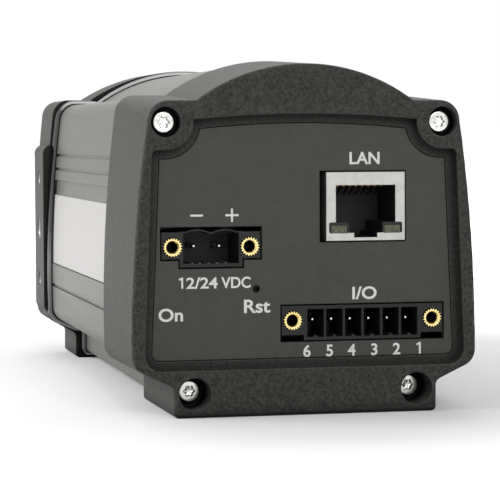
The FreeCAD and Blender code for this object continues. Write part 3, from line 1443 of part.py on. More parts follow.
def tooth(sketch, radius, base_radius, turned_by, root_share, tip_share):
    """One tooth of a spur gear about the sketch's origin, pointing along turned_by degrees."""
    pitch = s.gear_module * math.pi
    across = Vector(-math.sin(turned_by), math.cos(turned_by), 0)
    along = Vector(math.cos(turned_by), math.sin(turned_by), 0)
    stations = [(base_radius, root_share), (radius, 0.46), (radius + s.tooth_rise, tip_share)]
    points = [(reach, pitch * share / -2) for reach, share in stations]
    points += [(reach, pitch * share / 2) for reach, share in reversed(stations)]
    outline(sketch, [(reach * along.x + width * across.x, reach * along.y + width * across.y)
                     for reach, width in points])


def spur_teeth(body, y, x, z, radius, count, turned_by, root_share, tip_share):
    """Adds the teeth as one tooth and its circular pattern."""
    sketch = section_sketch(body, y, x, z)
    tooth(sketch, radius, radius - s.tooth_fall - s.fit_gap, turned_by, root_share, tip_share)
    feature = pad(body, sketch, s.gear_face)
    pattern = body.newObject("PartDesign::PolarPattern", f"{body.Name}_teeth")
    pattern.Originals = [feature]
    pattern.Axis = (sketch, ["N_Axis"])
    pattern.Angle = 360
    bind(pattern, Occurrences=count)
    body.Tip = pattern


def focus_drive():
    ring = turned("focus_ring", [
        (gear_rear_y, s.tail_radius + s.bearing_gap), (gear_rear_y, pitch_radius - s.tooth_fall),
        (gear_front_y, pitch_radius - s.tooth_fall), (gear_front_y, s.journal_radius),
        (ring_front_y, s.journal_radius), (ring_front_y, s.tail_radius + s.bearing_gap),
    ])
    half_step = math.pi / s.ring_teeth.value
    spur_teeth(ring, gear_rear_y, 0, s.lens_height, pitch_radius, s.ring_teeth, math.pi / 4 + half_step, 0.72, 0.24)
    keep(ring)
    carrier_bore = s.journal_radius + s.bearing_gap
    sleeve = carrier_bore + s.carrier_wall
    flange_y = inner_wall_y - s.carrier_flange_thickness
    carrier = turned("ring_carrier", [
        (gear_front_y + s.side_gap, carrier_bore), (gear_front_y + s.side_gap, sleeve), (flange_y, sleeve),
        (flange_y, s.carrier_flange), (inner_wall_y, s.carrier_flange), (inner_wall_y, carrier_bore),
    ])
    sketch = section_sketch(carrier, flange_y, 0, s.lens_height)
    for side in (-1, 1):
        circle(sketch, s.guide_ring * side, 0, s.guide_radius + s.fit_gap)
    pocket(carrier, sketch, s.carrier_flange_thickness)
    keep(carrier)
    guides = []
    for side in (-1, 1):
        name = f"guide_pin_{'left' if side < 0 else 'right'}"
        guides.append(rod(name, s.guide_ring * side, flange_y, s.lens_height, s.guide_radius,
                          cell_rear_y + s.guide_length - flange_y))
    keep(group("guide_pins", guides))
    pinion = new_body("focus_pinion")
    sketch = section_sketch(pinion, gear_rear_y, pinion_x, pinion_z)
    circle(sketch, 0, 0, pinion_pitch_radius - s.tooth_fall)
    pad(pinion, sketch, s.gear_face)
    sketch = section_sketch(pinion, plate_rear_y - s.shaft_engagement, pinion_x, pinion_z)
    circle(sketch, 0, 0, s.motor_shaft)
    pad(pinion, sketch, gear_rear_y + s.gear_face - plate_rear_y + s.shaft_engagement)
    spur_teeth(pinion, gear_rear_y, pinion_x, pinion_z, pinion_pitch_radius, s.pinion_teeth, math.pi * 1.25, 0.46, 0.2)
    keep(pinion)
    can = rod("focus_motor_can", pinion_x, plate_rear_y - s.motor_length, pinion_z, s.motor_radius, s.motor_length)
    bore = rod("focus_motor_bore", pinion_x, plate_rear_y - s.shaft_engagement - s.side_gap, pinion_z,
               s.motor_shaft + s.bearing_gap, s.shaft_engagement + s.side_gap)
    keep(cut("focus_motor", can, bore))
    plate = new_body("gear_plate")
    sketch = section_sketch(plate, plate_rear_y)
    half = s.gear_plate_half
    outline(sketch, [Corner(x, z, round=s.post_radius * 2.5) for x, z in (
        (-half, s.gear_plate_bottom), (half, s.gear_plate_bottom), (half, s.gear_plate_top), (-half, s.gear_plate_top))])
    circle(sketch, 0, s.lens_height, s.tail_radius + s.plate_room)
    circle(sketch, pinion_x, pinion_z, s.motor_shaft + s.plate_room)
    pad(plate, sketch, s.gear_plate_thickness)
    keep(plate)
    posts = []
    for number, (x, z) in enumerate(post_places(), start=1):
        posts.append(rod(f"gear_post_{number}", x, plate_front_y, z, s.post_radius, inner_wall_y - plate_front_y))
    keep(group("gear_posts", posts))


def post_places():
    return [(-s.post_x, s.post_low_z), (s.post_x, s.post_low_z), (-s.post_x, s.post_high_z)]


# Shutter: a small rotary actuator and its flag, parked beside the light path

flag_front_y = plate_rear_y - s.shutter_length - s.flag_room
flag_rear_y = flag_front_y - s.flag_thickness


def shutter():
    can = rod("shutter_can", -s.shutter_side, plate_rear_y - s.shutter_length, s.shutter_z, s.shutter_radius,
              s.shutter_length)
    bore = rod("shutter_bore", -s.shutter_side, plate_rear_y - s.shutter_length, s.shutter_z,
               s.shutter_shaft + s.bearing_gap, s.shaft_engagement + s.side_gap)
    keep(cut("shutter_actuator", can, bore))
    body = new_body("shutter_flag")
    reach_x = s.shutter_side
    reach_z = s.lens_height - s.shutter_z
    arm = root(reach_x * reach_x + reach_z * reach_z)
    parked = math.atan2(reach_z.value, reach_x.value) - math.radians(s.shutter_swing.value)
    along_x, along_z = math.cos(parked), math.sin(parked)
    half = s.flag_arm / 2
    sketch = section_sketch(body, flag_rear_y, -s.shutter_side, s.shutter_z)
    circle(sketch, arm * along_x, arm * along_z, s.flag_radius)
    pad(body, sketch, s.flag_thickness)
    sketch = section_sketch(body, flag_rear_y, -s.shutter_side, s.shutter_z)
    outline(sketch, [
        (half * along_z, -half * along_x), (arm * along_x + half * along_z, arm * along_z - half * along_x),
        (arm * along_x - half * along_z, arm * along_z + half * along_x), (-half * along_z, half * along_x),
    ])
    pad(body, sketch, s.flag_thickness)
    sketch = section_sketch(body, flag_rear_y, -s.shutter_side, s.shutter_z)
    circle(sketch, 0, 0, s.flag_arm * 0.7)
    pad(body, sketch, s.flag_thickness + s.flag_room / 2)
    sketch = section_sketch(body, flag_rear_y, -s.shutter_side, s.shutter_z)
    circle(sketch, 0, 0, s.shutter_shaft)
    pad(body, sketch, s.flag_thickness + s.flag_room + s.shaft_engagement)
    return keep(body)


# Detector: vacuum package on its board, carried by posts behind the gear plate

detector_front_y = plate_rear_y - s.detector_gap


def detector():
    half = s.detector_board_half
    board = block("detector_board", -half, detector_front_y - s.board_thickness, s.gear_plate_bottom,
                  half * 2, s.board_thickness, s.gear_plate_top - s.gear_plate_bottom)
    board.Label = "detector_board"
    keep(board)
    posts = []
    for number, (x, z) in enumerate(post_places(), start=1):
        posts.append(rod(f"detector_post_{number}", x, detector_front_y, z, s.post_radius, s.detector_gap))
    keep(group("detector_posts", posts))
    side = s.detector_side / 2
    case = block("detector_case", -side, detector_front_y, s.lens_height - side, s.detector_side,
                 s.detector_depth, s.detector_side)
    seat = block("detector_seat", -s.detector_window_side / 2, detector_front_y + s.detector_depth - s.window_depth,
                 s.lens_height - s.detector_window_side / 2, s.detector_window_side, s.window_depth,
                 s.detector_window_side)
    keep(cut("detector_package", case, seat))
    pane_side = s.detector_window_side - s.wall_gap * 2
    pane = block("detector_window", -pane_side / 2, detector_front_y + s.detector_depth - s.window_depth,
                 s.lens_height - pane_side / 2, pane_side, s.window_depth - s.fit_gap, pane_side)
    pane.Label = "detector_window"
    keep(pane)


# Long boards in the card rails, with their parts and the links between the boards

long_rear_y = board_front_y + s.board_clearance


def long_boards():
    boards = []
    for name, z in (("power_board", s.power_board_z), ("processor_board", s.processor_board_z)):
        board = block(name, -s.board_half, long_rear_y, z, s.board_half * 2, s.long_board_length, s.board_thickness)
        board.Label = name
        keep(board)
        boards.append(board)
    power_top = s.power_board_z + s.board_thickness
    processor_top = s.processor_board_z + s.board_thickness
    middle = long_rear_y + s.long_board_length / 2
    keep(group("power_board_parts", [
        rod_up("bulk_capacitor_left", -s.board_half / 2, middle - s.part_side, power_top, s.part_side / 2, s.part_height),
        rod_up("bulk_capacitor_right", -s.board_half / 2, middle + s.part_side, power_top, s.part_side / 2, s.part_height),
        block("power_inductor", s.part_side / 2, middle - s.part_side, power_top, s.part_side, s.part_side,
              s.part_height / 2),
        block("isolation_transformer", s.part_side / 2, middle + s.part_side / 2, power_top, s.part_side * 1.4,
              s.part_side * 1.2, s.part_height * 0.8),
    ]))
    keep(group("processor_board_parts", [
        block("image_processor", -s.part_side, middle - s.part_side, processor_top, s.part_side * 2,
              s.part_side * 2, s.part_height / 4),
        block("memory_left", -s.part_side * 2.2, middle - s.part_side, processor_top, s.part_side,
              s.part_side * 1.2, s.part_height / 8),
        block("memory_right", s.part_side * 1.3, middle - s.part_side, processor_top, s.part_side,
              s.part_side * 1.2, s.part_height / 8),
    ]))
    links = []
    for name, top in (("power_link", power_top), ("processor_link", processor_top)):
        links.append(block(name, -s.part_side, board_front_y, top, s.part_side * 2, s.part_side * 0.8, s.part_side / 2))
    keep(group("board_link_headers", links))
    plug_depth = s.part_side / 3
    long_front_y = long_rear_y + s.long_board_length
    detector_rear_y = detector_front_y - s.board_thickness
    flat_half = s.part_side * 0.8
    low = s.lens_height
    keep(group("flat_cable_sockets", [
        block("processor_socket", -s.part_side, long_front_y - plug_depth, processor_top, s.part_side * 2,
              plug_depth, s.part_side / 4),
        block("detector_socket", -s.part_side, detector_rear_y - plug_depth, low, s.part_side * 2, plug_depth,
              s.part_side / 4),
    ]))
    body = new_body("detector_flat_cable")
    sketch = side_sketch(body, 0, 0, -flat_half)
    high = processor_top + s.part_side / 8
    low_z = low + s.part_side / 8
    bend = (detector_rear_y - plug_depth - long_front_y) / 3
    sheet_depth = s.flat_cable_depth
    outline(sketch, [
        (long_front_y, high), (long_front_y + bend + sheet_depth, high), (long_front_y + bend * 2 + sheet_depth, low_z),
        (detector_rear_y - plug_depth, low_z), (detector_rear_y - plug_depth, low_z + sheet_depth),
        (long_front_y + bend * 2 + sheet_depth * 2, low_z + sheet_depth),
        (long_front_y + bend + sheet_depth * 2, high + sheet_depth), (long_front_y, high + sheet_depth),
    ])
    pad(body, sketch, flat_half * 2, forward=False)
    keep(body)


def rod_up(name, x, y, z, radius, length):
    """A round bar along +Z."""
    bar = doc.addObject("Part::Cylinder", name)
    bind(bar, Radius=radius, Height=length)
    place(bar, x, y, z)
    return bar


rear_cover()
connector_panel()
panel_seal()
power_header()
pins("power_header_pins", s.power_x, s.power_z, s.power_pitch, 2, s.power_pin_recess)
flange_nuts("power_flange_nuts", s.power_x, s.power_z, s.power_nut_offset)
io_header()
pins("io_header_pins", s.io_x, s.io_z, s.io_pitch, 6, s.io_pin_recess)
flange_nuts("io_flange_nuts", s.io_x, s.io_z, s.io_nut_offset)
network_jack()
interface_board()
reset_switch()
extruded_body()
side_label()
rear_gasket()
front_collar()
front_casting()
housing_screws()
outer_barrel()
focusing_cell()
focus_drive()
shutter()
detector()
long_boards()

doc.recompute()
for item in doc.Objects:
    if "Invalid" in item.State or "Error" in item.State:
        raise RuntimeError(f"{item.Name} failed: {item.State} {item.getStatusString()}")
for piece in NODES:
    if piece.Shape.isNull() or not piece.Shape.isValid():
        raise RuntimeError(f"{piece.Label} has no valid shape")
    piece.Shape.exportStep(f"parts/{piece.Label}.step")
    box = piece.Shape.BoundBox
    print(piece.Label, len(piece.Shape.Solids), round(piece.Shape.Volume, 2),
          [round(v, 2) for v in (box.XMin, box.YMin, box.ZMin, box.XMax, box.YMax, box.ZMax)])
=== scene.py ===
# %% [markdown]
# # Fixed thermal camera
#
# A machine-safety camera stands with its connector side towards us: a dark coated rear cover,
# a grey extruded housing behind it, and a front casting with the lens on the far side.
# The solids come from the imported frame. This script gives them their finishes and adds the fine
# pieces that the frame only outlines: screws, nuts, pins, contacts, lenses and the panel's lettering.
# Places are read from the frame, so the script follows it when a size changes.

import json
import math

import bmesh
import bpy
import numpy as np
from mathutils import Matrix, Vector


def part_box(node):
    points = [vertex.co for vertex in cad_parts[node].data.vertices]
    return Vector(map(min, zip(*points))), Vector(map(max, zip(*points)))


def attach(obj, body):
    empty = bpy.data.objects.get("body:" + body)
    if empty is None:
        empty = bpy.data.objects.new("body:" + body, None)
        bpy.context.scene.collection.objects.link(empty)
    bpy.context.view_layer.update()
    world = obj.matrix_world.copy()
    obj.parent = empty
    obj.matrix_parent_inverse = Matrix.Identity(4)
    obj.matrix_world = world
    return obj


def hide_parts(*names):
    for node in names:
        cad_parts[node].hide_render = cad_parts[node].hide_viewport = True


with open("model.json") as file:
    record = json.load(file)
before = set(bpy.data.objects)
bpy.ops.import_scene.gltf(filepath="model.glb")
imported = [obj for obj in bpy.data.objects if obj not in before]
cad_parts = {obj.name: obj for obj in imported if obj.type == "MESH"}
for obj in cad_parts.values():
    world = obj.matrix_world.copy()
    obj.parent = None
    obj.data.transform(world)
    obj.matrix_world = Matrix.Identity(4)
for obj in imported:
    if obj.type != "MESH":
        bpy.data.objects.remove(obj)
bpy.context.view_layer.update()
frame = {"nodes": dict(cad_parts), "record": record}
mm = 0.001
nodes = frame["nodes"]
mounts = {mount["name"]: mount for mount in frame["record"]["mounts"]}
print("nodes in the frame:", len(nodes))

# %% [markdown]
# ## Surfaces from arrays
#
# Every new piece is a grid of points. The grid's columns run round the piece and its rows run
# along a profile, so one formula gives the whole surface at once and no vertex is placed by hand.
# Joining and merging come last, because the ends of a turned profile meet in one point.

# %% Grid, turning and meshes
seam_gap = 0.00005 * mm
sharp_edge = 34


def box_mm(node):
    """The lowest and the highest corner of a frame piece, in millimetres."""
    return [np.array(corner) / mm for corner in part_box(node)]


def mount_mm(name):
    """A mount's place in millimetres."""
    return np.array(mounts[name]["pos_m"]) / mm


def round_angles(count):
    """So many equal angles once round from 0, in radians."""
    return np.linspace(0, 2 * np.pi, count, endpoint=False)


def ridge(phase):
    """A zigzag |2 frac(p) - 1|, which is 1 at whole numbers and 0 halfway between them."""
    return np.abs(phase % 1 - 0.5) * 2


def grid_faces(rows, columns):
    """Quads between neighbouring grid points: point (r, c) has the index r * columns + c."""
    row = np.arange(rows - 1)[:, None]
    column = np.arange(columns)[None, :]
    after = (column + 1) % columns
    corners = [row * columns + column, row * columns + after,
               (row + 1) * columns + after, (row + 1) * columns + column]
    return np.stack(corners, -1).reshape(-1, 4)


def turned(along, radius, x, z, count):
    """Points at x + r cos a, y, z + r sin a, where r is given for each row or for each point."""
    angle = round_angles(count)
    reach = radius if radius.ndim == 2 else np.repeat(radius[:, None], count, 1)
    y = np.repeat(along[:, None], count, 1)
    points = np.stack([x + reach * np.cos(angle), y, z + reach * np.sin(angle)], -1)
    return points.reshape(-1, 3), grid_faces(len(along), count)


def clean_mesh(mesh, gap, outward=True):
    """Merges points closer together than gap, in metres, and turns the faces outwards."""
    cleaned = bmesh.new()
    cleaned.from_mesh(mesh)
    bmesh.ops.remove_doubles(cleaned, verts=cleaned.verts, dist=gap)
    if outward:
        bmesh.ops.recalc_face_normals(cleaned, faces=cleaned.faces)
    cleaned.to_mesh(mesh)
    cleaned.free()


def joined_mesh(name, surfaces):
    """Grids in millimetres as one closed mesh in metres, with their poles and seams merged."""
    starts = np.cumsum([0] + [len(points) for points, faces in surfaces[:-1]])
    points = np.concatenate([points for points, faces in surfaces])
    faces = np.concatenate([faces + start for (_, faces), start in zip(surfaces, starts)])
    mesh = bpy.data.meshes.new(name)
    mesh.from_pydata((points * mm).tolist(), [], faces.tolist())
    clean_mesh(mesh, seam_gap)
    return mesh


def new_object(name, data):
    """An object that shows the data, linked into the scene."""
    holder = bpy.data.objects.new(name, data)
    bpy.context.scene.collection.objects.link(holder)
    return holder


def place_mesh(name, mesh, body="housing", replaced=()):
    """Makes a mesh a piece that rides on a body and stands for the frame's pieces named in replaced."""
    piece = new_object(name, mesh)
    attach(piece, body)
    if replaced:
        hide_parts(*replaced)
    print(name, len(mesh.polygons), "faces")
    return piece


def make_piece(name, surfaces, slot, material=None, body="housing", replaced=()):
    """Makes the grids one piece, in its slot's finish unless another material is given. Edges sharper
    than sharp_edge degrees stay sharp."""
    mesh = joined_mesh(name, surfaces)
    mesh.shade_smooth()
    mesh.set_sharp_from_angle(angle=math.radians(sharp_edge))
    mesh.materials.append(material or finishes[slot])
    return place_mesh(name, mesh, body, replaced)


# %% [markdown]
# ## Effects shared by the finishes
#
# The rear cover has a powder coat with a fine orange-peel grain, the extrusion has faint lines
# along its length, edges are slightly lighter, partly rubbed wear and partly a painted highlight, and
# the coated castings are darker in their recesses, which is painted shade. These could be painted maps,
# but a pattern in space needs no unwrapping and has no seams. Each effect is a node group, so a finish
# only says how large and how strong it is.
# The patterns read Object coordinates, which stay put on the piece in every view.


# %% Node helpers
def linear(red, green, blue):
    """Turns a colour in 0 to 255 into the linear values that shaders use: ((c + 0.055) / 1.055) ^ 2.4."""
    shares = np.array([red, green, blue]) / 255
    low = shares / 12.92
    high = ((shares + 0.055) / 1.055) ** 2.4
    return (*np.where(shares < 0.04045, low, high).tolist(), 1.0)


def set_node(node, **settings):
    """A setting named in_Scale is the value of the node's socket Scale, any other is a property."""
    for key, value in settings.items():
        if key.startswith("in_"):
            node.inputs[key[3:].replace("_", " ")].default_value = value
        else:
            setattr(node, key, value)
    return node


def add_node(tree, kind, **settings):
    """Adds a node with its settings."""
    return set_node(tree.nodes.new(kind), **settings)


def new_material(name, **settings):
    """A material, its node tree and its shader with the settings."""
    material = bpy.data.materials.new(name)
    material.use_nodes = True
    tree = material.node_tree
    return material, tree, set_node(tree.nodes["Principled BSDF"], **settings)


def new_group(name, inputs, outputs):
    """A node group with named sockets; inputs are (name, default) and outputs are (name, socket kind)."""
    group = bpy.data.node_groups.new(name, "ShaderNodeTree")
    for label, value in inputs:
        socket = group.interface.new_socket(label, in_out="INPUT", socket_type="NodeSocketFloat")
        socket.default_value = value
    for label, kind in outputs:
        group.interface.new_socket(label, in_out="OUTPUT", socket_type=kind)
    entry = group.nodes.new("NodeGroupInput")
    leave = group.nodes.new("NodeGroupOutput")
    return group, entry, leave


# %% Coat grain
def coat_grain_group():
    """Two noises mixed, fine (1 - u) + broad u: grain, and an unevenness of five times its size."""
    group, entry, leave = new_group("coat grain", [("Scale", 1500.0), ("Unevenness", 0.3)],
                                    [("Height", "NodeSocketFloat")])
    place = add_node(group, "ShaderNodeTexCoord")
    fine = add_node(group, "ShaderNodeTexNoise", in_Detail=3.0, in_Roughness=0.6)
    broad = add_node(group, "ShaderNodeTexNoise", in_Detail=2.0)
    fifth = add_node(group, "ShaderNodeMath", operation="MULTIPLY")
    fifth.inputs[1].default_value = 0.2
    mix = add_node(group, "ShaderNodeMix", data_type="FLOAT")
    link = group.links.new
    link(place.outputs["Object"], fine.inputs["Vector"])
    link(place.outputs["Object"], broad.inputs["Vector"])
    link(entry.outputs["Scale"], fine.inputs["Scale"])
    link(entry.outputs["Scale"], fifth.inputs[0])
    link(fifth.outputs[0], broad.inputs["Scale"])
    link(entry.outputs["Unevenness"], mix.inputs["Factor"])
    link(fine.outputs["Fac"], mix.inputs["A"])
    link(broad.outputs["Fac"], mix.inputs["B"])
    link(mix.outputs["Result"], leave.inputs["Height"])
    return group


# %% Drawn lines
def drawn_lines_group():
    """Noise squeezed to long streaks along Y: the pattern's Y is scaled by Stretch before the noise."""
    group, entry, leave = new_group("drawn lines", [("Scale", 900.0), ("Stretch", 0.02)],
                                    [("Height", "NodeSocketFloat")])
    place = add_node(group, "ShaderNodeTexCoord")
    apart = add_node(group, "ShaderNodeSeparateXYZ")
    squeeze = add_node(group, "ShaderNodeMath", operation="MULTIPLY")
    together = add_node(group, "ShaderNodeCombineXYZ")
    streak = add_node(group, "ShaderNodeTexNoise", in_Detail=4.0, in_Roughness=0.65)
    link = group.links.new
    link(place.outputs["Object"], apart.inputs[0])
    link(apart.outputs["Y"], squeeze.inputs[0])
    link(entry.outputs["Stretch"], squeeze.inputs[1])
    link(apart.outputs["X"], together.inputs["X"])
    link(squeeze.outputs[0], together.inputs["Y"])
    link(apart.outputs["Z"], together.inputs["Z"])
    link(together.outputs[0], streak.inputs["Vector"])
    link(entry.outputs["Scale"], streak.inputs["Scale"])
    link(streak.outputs["Fac"], leave.inputs["Height"])
    return group


# %% Rounded edge, its wear and a painted highlight
def edge_wear_and_highlight_group():
    """The Bevel normal rounds the shading at an edge. Where it turns away from the true normal, by
    1 - dot(bevelled, true), there is an edge, and noise breaks that mask up into small rubbed spots. The
    mask lightens the colour there: partly rubbed wear, partly a painted highlight."""
    group, entry, leave = new_group("edge wear and painted highlight", [("Radius", 0.0003), ("Amount", 0.5)],
                                    [("Normal", "NodeSocketVector"), ("Mask", "NodeSocketFloat")])
    rounded = add_node(group, "ShaderNodeBevel", samples=6)
    true_normal = add_node(group, "ShaderNodeNewGeometry")
    dot = add_node(group, "ShaderNodeVectorMath", operation="DOT_PRODUCT")
    edge = add_node(group, "ShaderNodeMath", operation="SUBTRACT")
    edge.inputs[0].default_value = 1.0
    steep = add_node(group, "ShaderNodeMath", operation="MULTIPLY")
    steep.inputs[1].default_value = 5.0
    place = add_node(group, "ShaderNodeTexCoord")
    spots = add_node(group, "ShaderNodeTexNoise", in_Scale=600.0, in_Detail=3.0)
    broken = add_node(group, "ShaderNodeMath", operation="MULTIPLY")
    amount = add_node(group, "ShaderNodeMath", operation="MULTIPLY", use_clamp=True)
    link = group.links.new
    link(entry.outputs["Radius"], rounded.inputs["Radius"])
    link(rounded.outputs["Normal"], dot.inputs[0])
    link(true_normal.outputs["Normal"], dot.inputs[1])
    link(dot.outputs["Value"], edge.inputs[1])
    link(edge.outputs[0], steep.inputs[0])
    link(place.outputs["Object"], spots.inputs["Vector"])
    link(steep.outputs[0], broken.inputs[0])
    link(spots.outputs["Fac"], broken.inputs[1])
    link(broken.outputs[0], amount.inputs[0])
    link(entry.outputs["Amount"], amount.inputs[1])
    link(amount.outputs[0], leave.inputs["Mask"])
    link(rounded.outputs["Normal"], leave.inputs["Normal"])
    return group


# %% Painted shade in crevices
def crevice_group():
    """The share of directions blocked within Distance, 1 - open, times Amount: a mask for painted shade in
    crevices.
    """
    group, entry, leave = new_group("crevice shade", [("Distance", 0.003), ("Amount", 0.5)],
                                    [("Mask", "NodeSocketFloat")])
    openness = add_node(group, "ShaderNodeAmbientOcclusion", samples=6)
    blocked = add_node(group, "ShaderNodeMath", operation="SUBTRACT")
    blocked.inputs[0].default_value = 1.0
    amount = add_node(group, "ShaderNodeMath", operation="MULTIPLY", use_clamp=True)
    link = group.links.new
    link(entry.outputs["Distance"], openness.inputs["Distance"])
    link(openness.outputs["AO"], blocked.inputs[1])
    link(blocked.outputs[0], amount.inputs[0])
    link(entry.outputs["Amount"], amount.inputs[1])
    link(amount.outputs[0], leave.inputs["Mask"])
    return group


coat_grain = coat_grain_group()
drawn_lines = drawn_lines_group()
edge_wear_and_highlight = edge_wear_and_highlight_group()
crevice_shade = crevice_group()
print("node groups:", [group.name for group in (coat_grain, drawn_lines, edge_wear_and_highlight, crevice_shade)])

# %% [markdown]
# ## Finishes
#
# A finish is a Principled BSDF whose colour swings between two close tones with the grain, whose
# roughness follows the same pattern, and whose normal comes from a Bump on the rounded edge. A
# material of its own for each part would say the same with many more nodes. Numbers that are even
# over the surface stay on the shader's own sockets.

# %% One recipe for coated, drawn and moulded surfaces
coat_roughness = 0.1
dark_until, light_from = 0.3, 0.7
smoothest = 0.02
crevice_reach = 3.5 * mm
painted_shade_tone = (8, 9, 9)


def finish(name, light, dark, roughness, spread=0.08, metallic=0.0, grain=1500.0, depth=0.02, uneven=0.3,
           lines=False, edge=0.0003, edge_tone_worn_and_highlit=None, wear_and_highlight=0.5, coat=0.0, specular=0.5, crevice=0.0):
    """Builds one material. Light and dark are the two tones, depth is the bump's height in millimetres,
    edge is the rounding in metres, and two strengths weigh two masks: the lighter edges, partly rubbed
    wear and partly a painted highlight, and crevice, painted shade in recesses."""
    material, tree, shader = new_material(name, in_Metallic=metallic, in_Coat_Weight=coat,
                                          in_Coat_Roughness=coat_roughness,
                                          in_Specular_IOR_Level=specular)
    pattern = add_node(tree, "ShaderNodeGroup", node_tree=drawn_lines if lines else coat_grain,
                       in_Scale=grain)
    if not lines:
        pattern.inputs["Unevenness"].default_value = uneven
    tones = add_node(tree, "ShaderNodeValToRGB")
    tones.color_ramp.elements[0].position = dark_until
    tones.color_ramp.elements[0].color = linear(*dark)
    tones.color_ramp.elements[1].position = light_from
    tones.color_ramp.elements[1].color = linear(*light)
    rough = add_node(tree, "ShaderNodeMapRange", in_To_Min=max(roughness - spread, smoothest),
                     in_To_Max=roughness + spread)
    bump = add_node(tree, "ShaderNodeBump", in_Distance=depth * mm)
    rim = add_node(tree, "ShaderNodeGroup", node_tree=edge_wear_and_highlight, in_Radius=edge, in_Amount=wear_and_highlight)
    # Lighter edges: partly rubbed wear, partly a painted highlight.
    rubbed_and_highlit = add_node(tree, "ShaderNodeMix", data_type="RGBA")
    rubbed_and_highlit.inputs["B"].default_value = linear(*(edge_tone_worn_and_highlit or light))
    link = tree.links.new
    link(pattern.outputs["Height"], tones.inputs["Fac"])
    link(pattern.outputs["Height"], rough.inputs["Value"])
    link(pattern.outputs["Height"], bump.inputs["Height"])
    link(rim.outputs["Normal"], bump.inputs["Normal"])
    link(rim.outputs["Mask"], rubbed_and_highlit.inputs["Factor"])
    link(tones.outputs["Color"], rubbed_and_highlit.inputs["A"])
    # Painted shade: in recesses the colour darkens towards a near-black tone.
    if crevice > 0:
        hollow = add_node(tree, "ShaderNodeGroup", node_tree=crevice_shade, in_Distance=crevice_reach,
                          in_Amount=crevice)
        shaded = add_node(tree, "ShaderNodeMix", data_type="RGBA")
        shaded.inputs["B"].default_value = linear(*painted_shade_tone)
        link(hollow.outputs["Mask"], shaded.inputs["Factor"])
        link(rubbed_and_highlit.outputs["Result"], shaded.inputs["A"])
        link(shaded.outputs["Result"], shader.inputs["Base Color"])
    else:
        link(rubbed_and_highlit.outputs["Result"], shader.inputs["Base Color"])
    link(rough.outputs["Result"], shader.inputs["Roughness"])
    link(bump.outputs["Normal"], shader.inputs["Normal"])
    return material


# %% The camera's finishes: light tone, dark tone, roughness and what differs from the recipe
# Edge tones and their strengths lighten edges, partly rubbed wear and partly a painted highlight; crevice
# darkens recesses with painted shade.
recipes = {
    "cover_coat": ((83, 83, 79), (35, 37, 35), 0.55,
        dict(grain=1900, depth=0.12, uneven=0.1, edge=0.0005, edge_tone_worn_and_highlit=(122, 121, 116), wear_and_highlight=0.6,
             specular=0.15, crevice=1.4)),
    "panel_coat": ((84, 84, 79), (76, 77, 73), 0.55, dict(grain=500, depth=0.004, specular=0.2)),
    "extrusion_skin": ((96, 96, 90), (89, 89, 83), 0.42,
        dict(metallic=0.2, lines=True, grain=1100, depth=0.006, edge=0.0002, specular=0.3)),
    "casting_coat": ((82, 81, 77), (42, 43, 41), 0.5,
        dict(grain=1900, depth=0.09, uneven=0.1, edge=0.0006, edge_tone_worn_and_highlit=(104, 102, 98), specular=0.08,
             crevice=1.6)),
    "collar_trim": ((18, 18, 18), (12, 12, 12), 0.1,
        dict(spread=0.02, grain=500, depth=0.001, edge=0.0001, specular=0.45)),
    "seal_rubber": ((24, 24, 24), (16, 16, 16), 0.7, dict(grain=1200, depth=0.01)),
    "label_film": ((190, 188, 186), (185, 183, 182), 0.45, dict(grain=300, depth=0.002)),
    "connector_black": ((28, 29, 30), (18, 19, 20), 0.5,
        dict(grain=1500, depth=0.006, edge=0.00012, edge_tone_worn_and_highlit=(64, 66, 66), specular=0.3)),
    "nut_brass": ((246, 226, 160), (220, 194, 124), 0.22,
        dict(metallic=1.0, grain=1400, depth=0.003, edge=0.00008, edge_tone_worn_and_highlit=(255, 246, 214))),
    "pin_tin": ((226, 224, 216), (200, 197, 188), 0.22,
        dict(metallic=1.0, lines=True, grain=1500, depth=0.002, edge=0.0001)),
    # The contacts' gold is darker than bright gold: painted shade inside the socket.
    "contact_gold": ((150, 122, 66), (112, 88, 44), 0.35,
        dict(metallic=1.0, grain=1500, depth=0.001, edge=0.0001)),
    "shield_tin": ((188, 187, 183), (170, 169, 165), 0.38,
        dict(metallic=0.7, grain=600, depth=0.004, edge=0.00015, edge_tone_worn_and_highlit=(240, 239, 236))),
    "screw_steel": ((228, 227, 224), (196, 195, 192), 0.2,
        dict(metallic=1.0, grain=1600, depth=0.003, edge=0.0001, edge_tone_worn_and_highlit=(246, 245, 242))),
    "board_green": ((30, 84, 50), (22, 66, 40), 0.3, dict(grain=1300, depth=0.004, coat=0.4)),
    "part_black": ((34, 34, 36), (26, 26, 28), 0.5, dict(grain=1600, depth=0.004, edge=0.00015)),
    "lens_black": ((34, 34, 36), (26, 26, 28), 0.34,
        dict(metallic=0.5, grain=1300, depth=0.004, edge=0.0002, edge_tone_worn_and_highlit=(96, 96, 98))),
    "gear_white": ((222, 219, 210), (212, 209, 200), 0.4, dict(grain=900, depth=0.003, edge=0.00012)),
    "motor_steel": ((184, 184, 184), (160, 160, 160), 0.28,
        dict(metallic=1.0, lines=True, grain=1500, depth=0.003)),
    "plate_metal": ((186, 186, 184), (168, 168, 166), 0.34,
        dict(metallic=0.9, lines=True, grain=1300, depth=0.004)),
    "cable_film": ((196, 122, 48), (182, 108, 38), 0.3, dict(grain=500, depth=0.002, coat=0.3)),
}
finishes = {slot: finish(slot.replace("_", " "), light, dark, roughness, **more)
            for slot, (light, dark, roughness, more) in recipes.items()}
print("finishes:", len(finishes))

# %% [markdown]
# ## Lamp windows, lens and ink
#
# Two finishes need more than the recipe: the unlit lamp windows let some light in, and the germanium
# lens is opaque to the eye and mirrors the room with a tinted coating. Glass over a dark inside would
# look alike, but germanium isn't transparent. The ink is a plain finish for the marks on the panel.

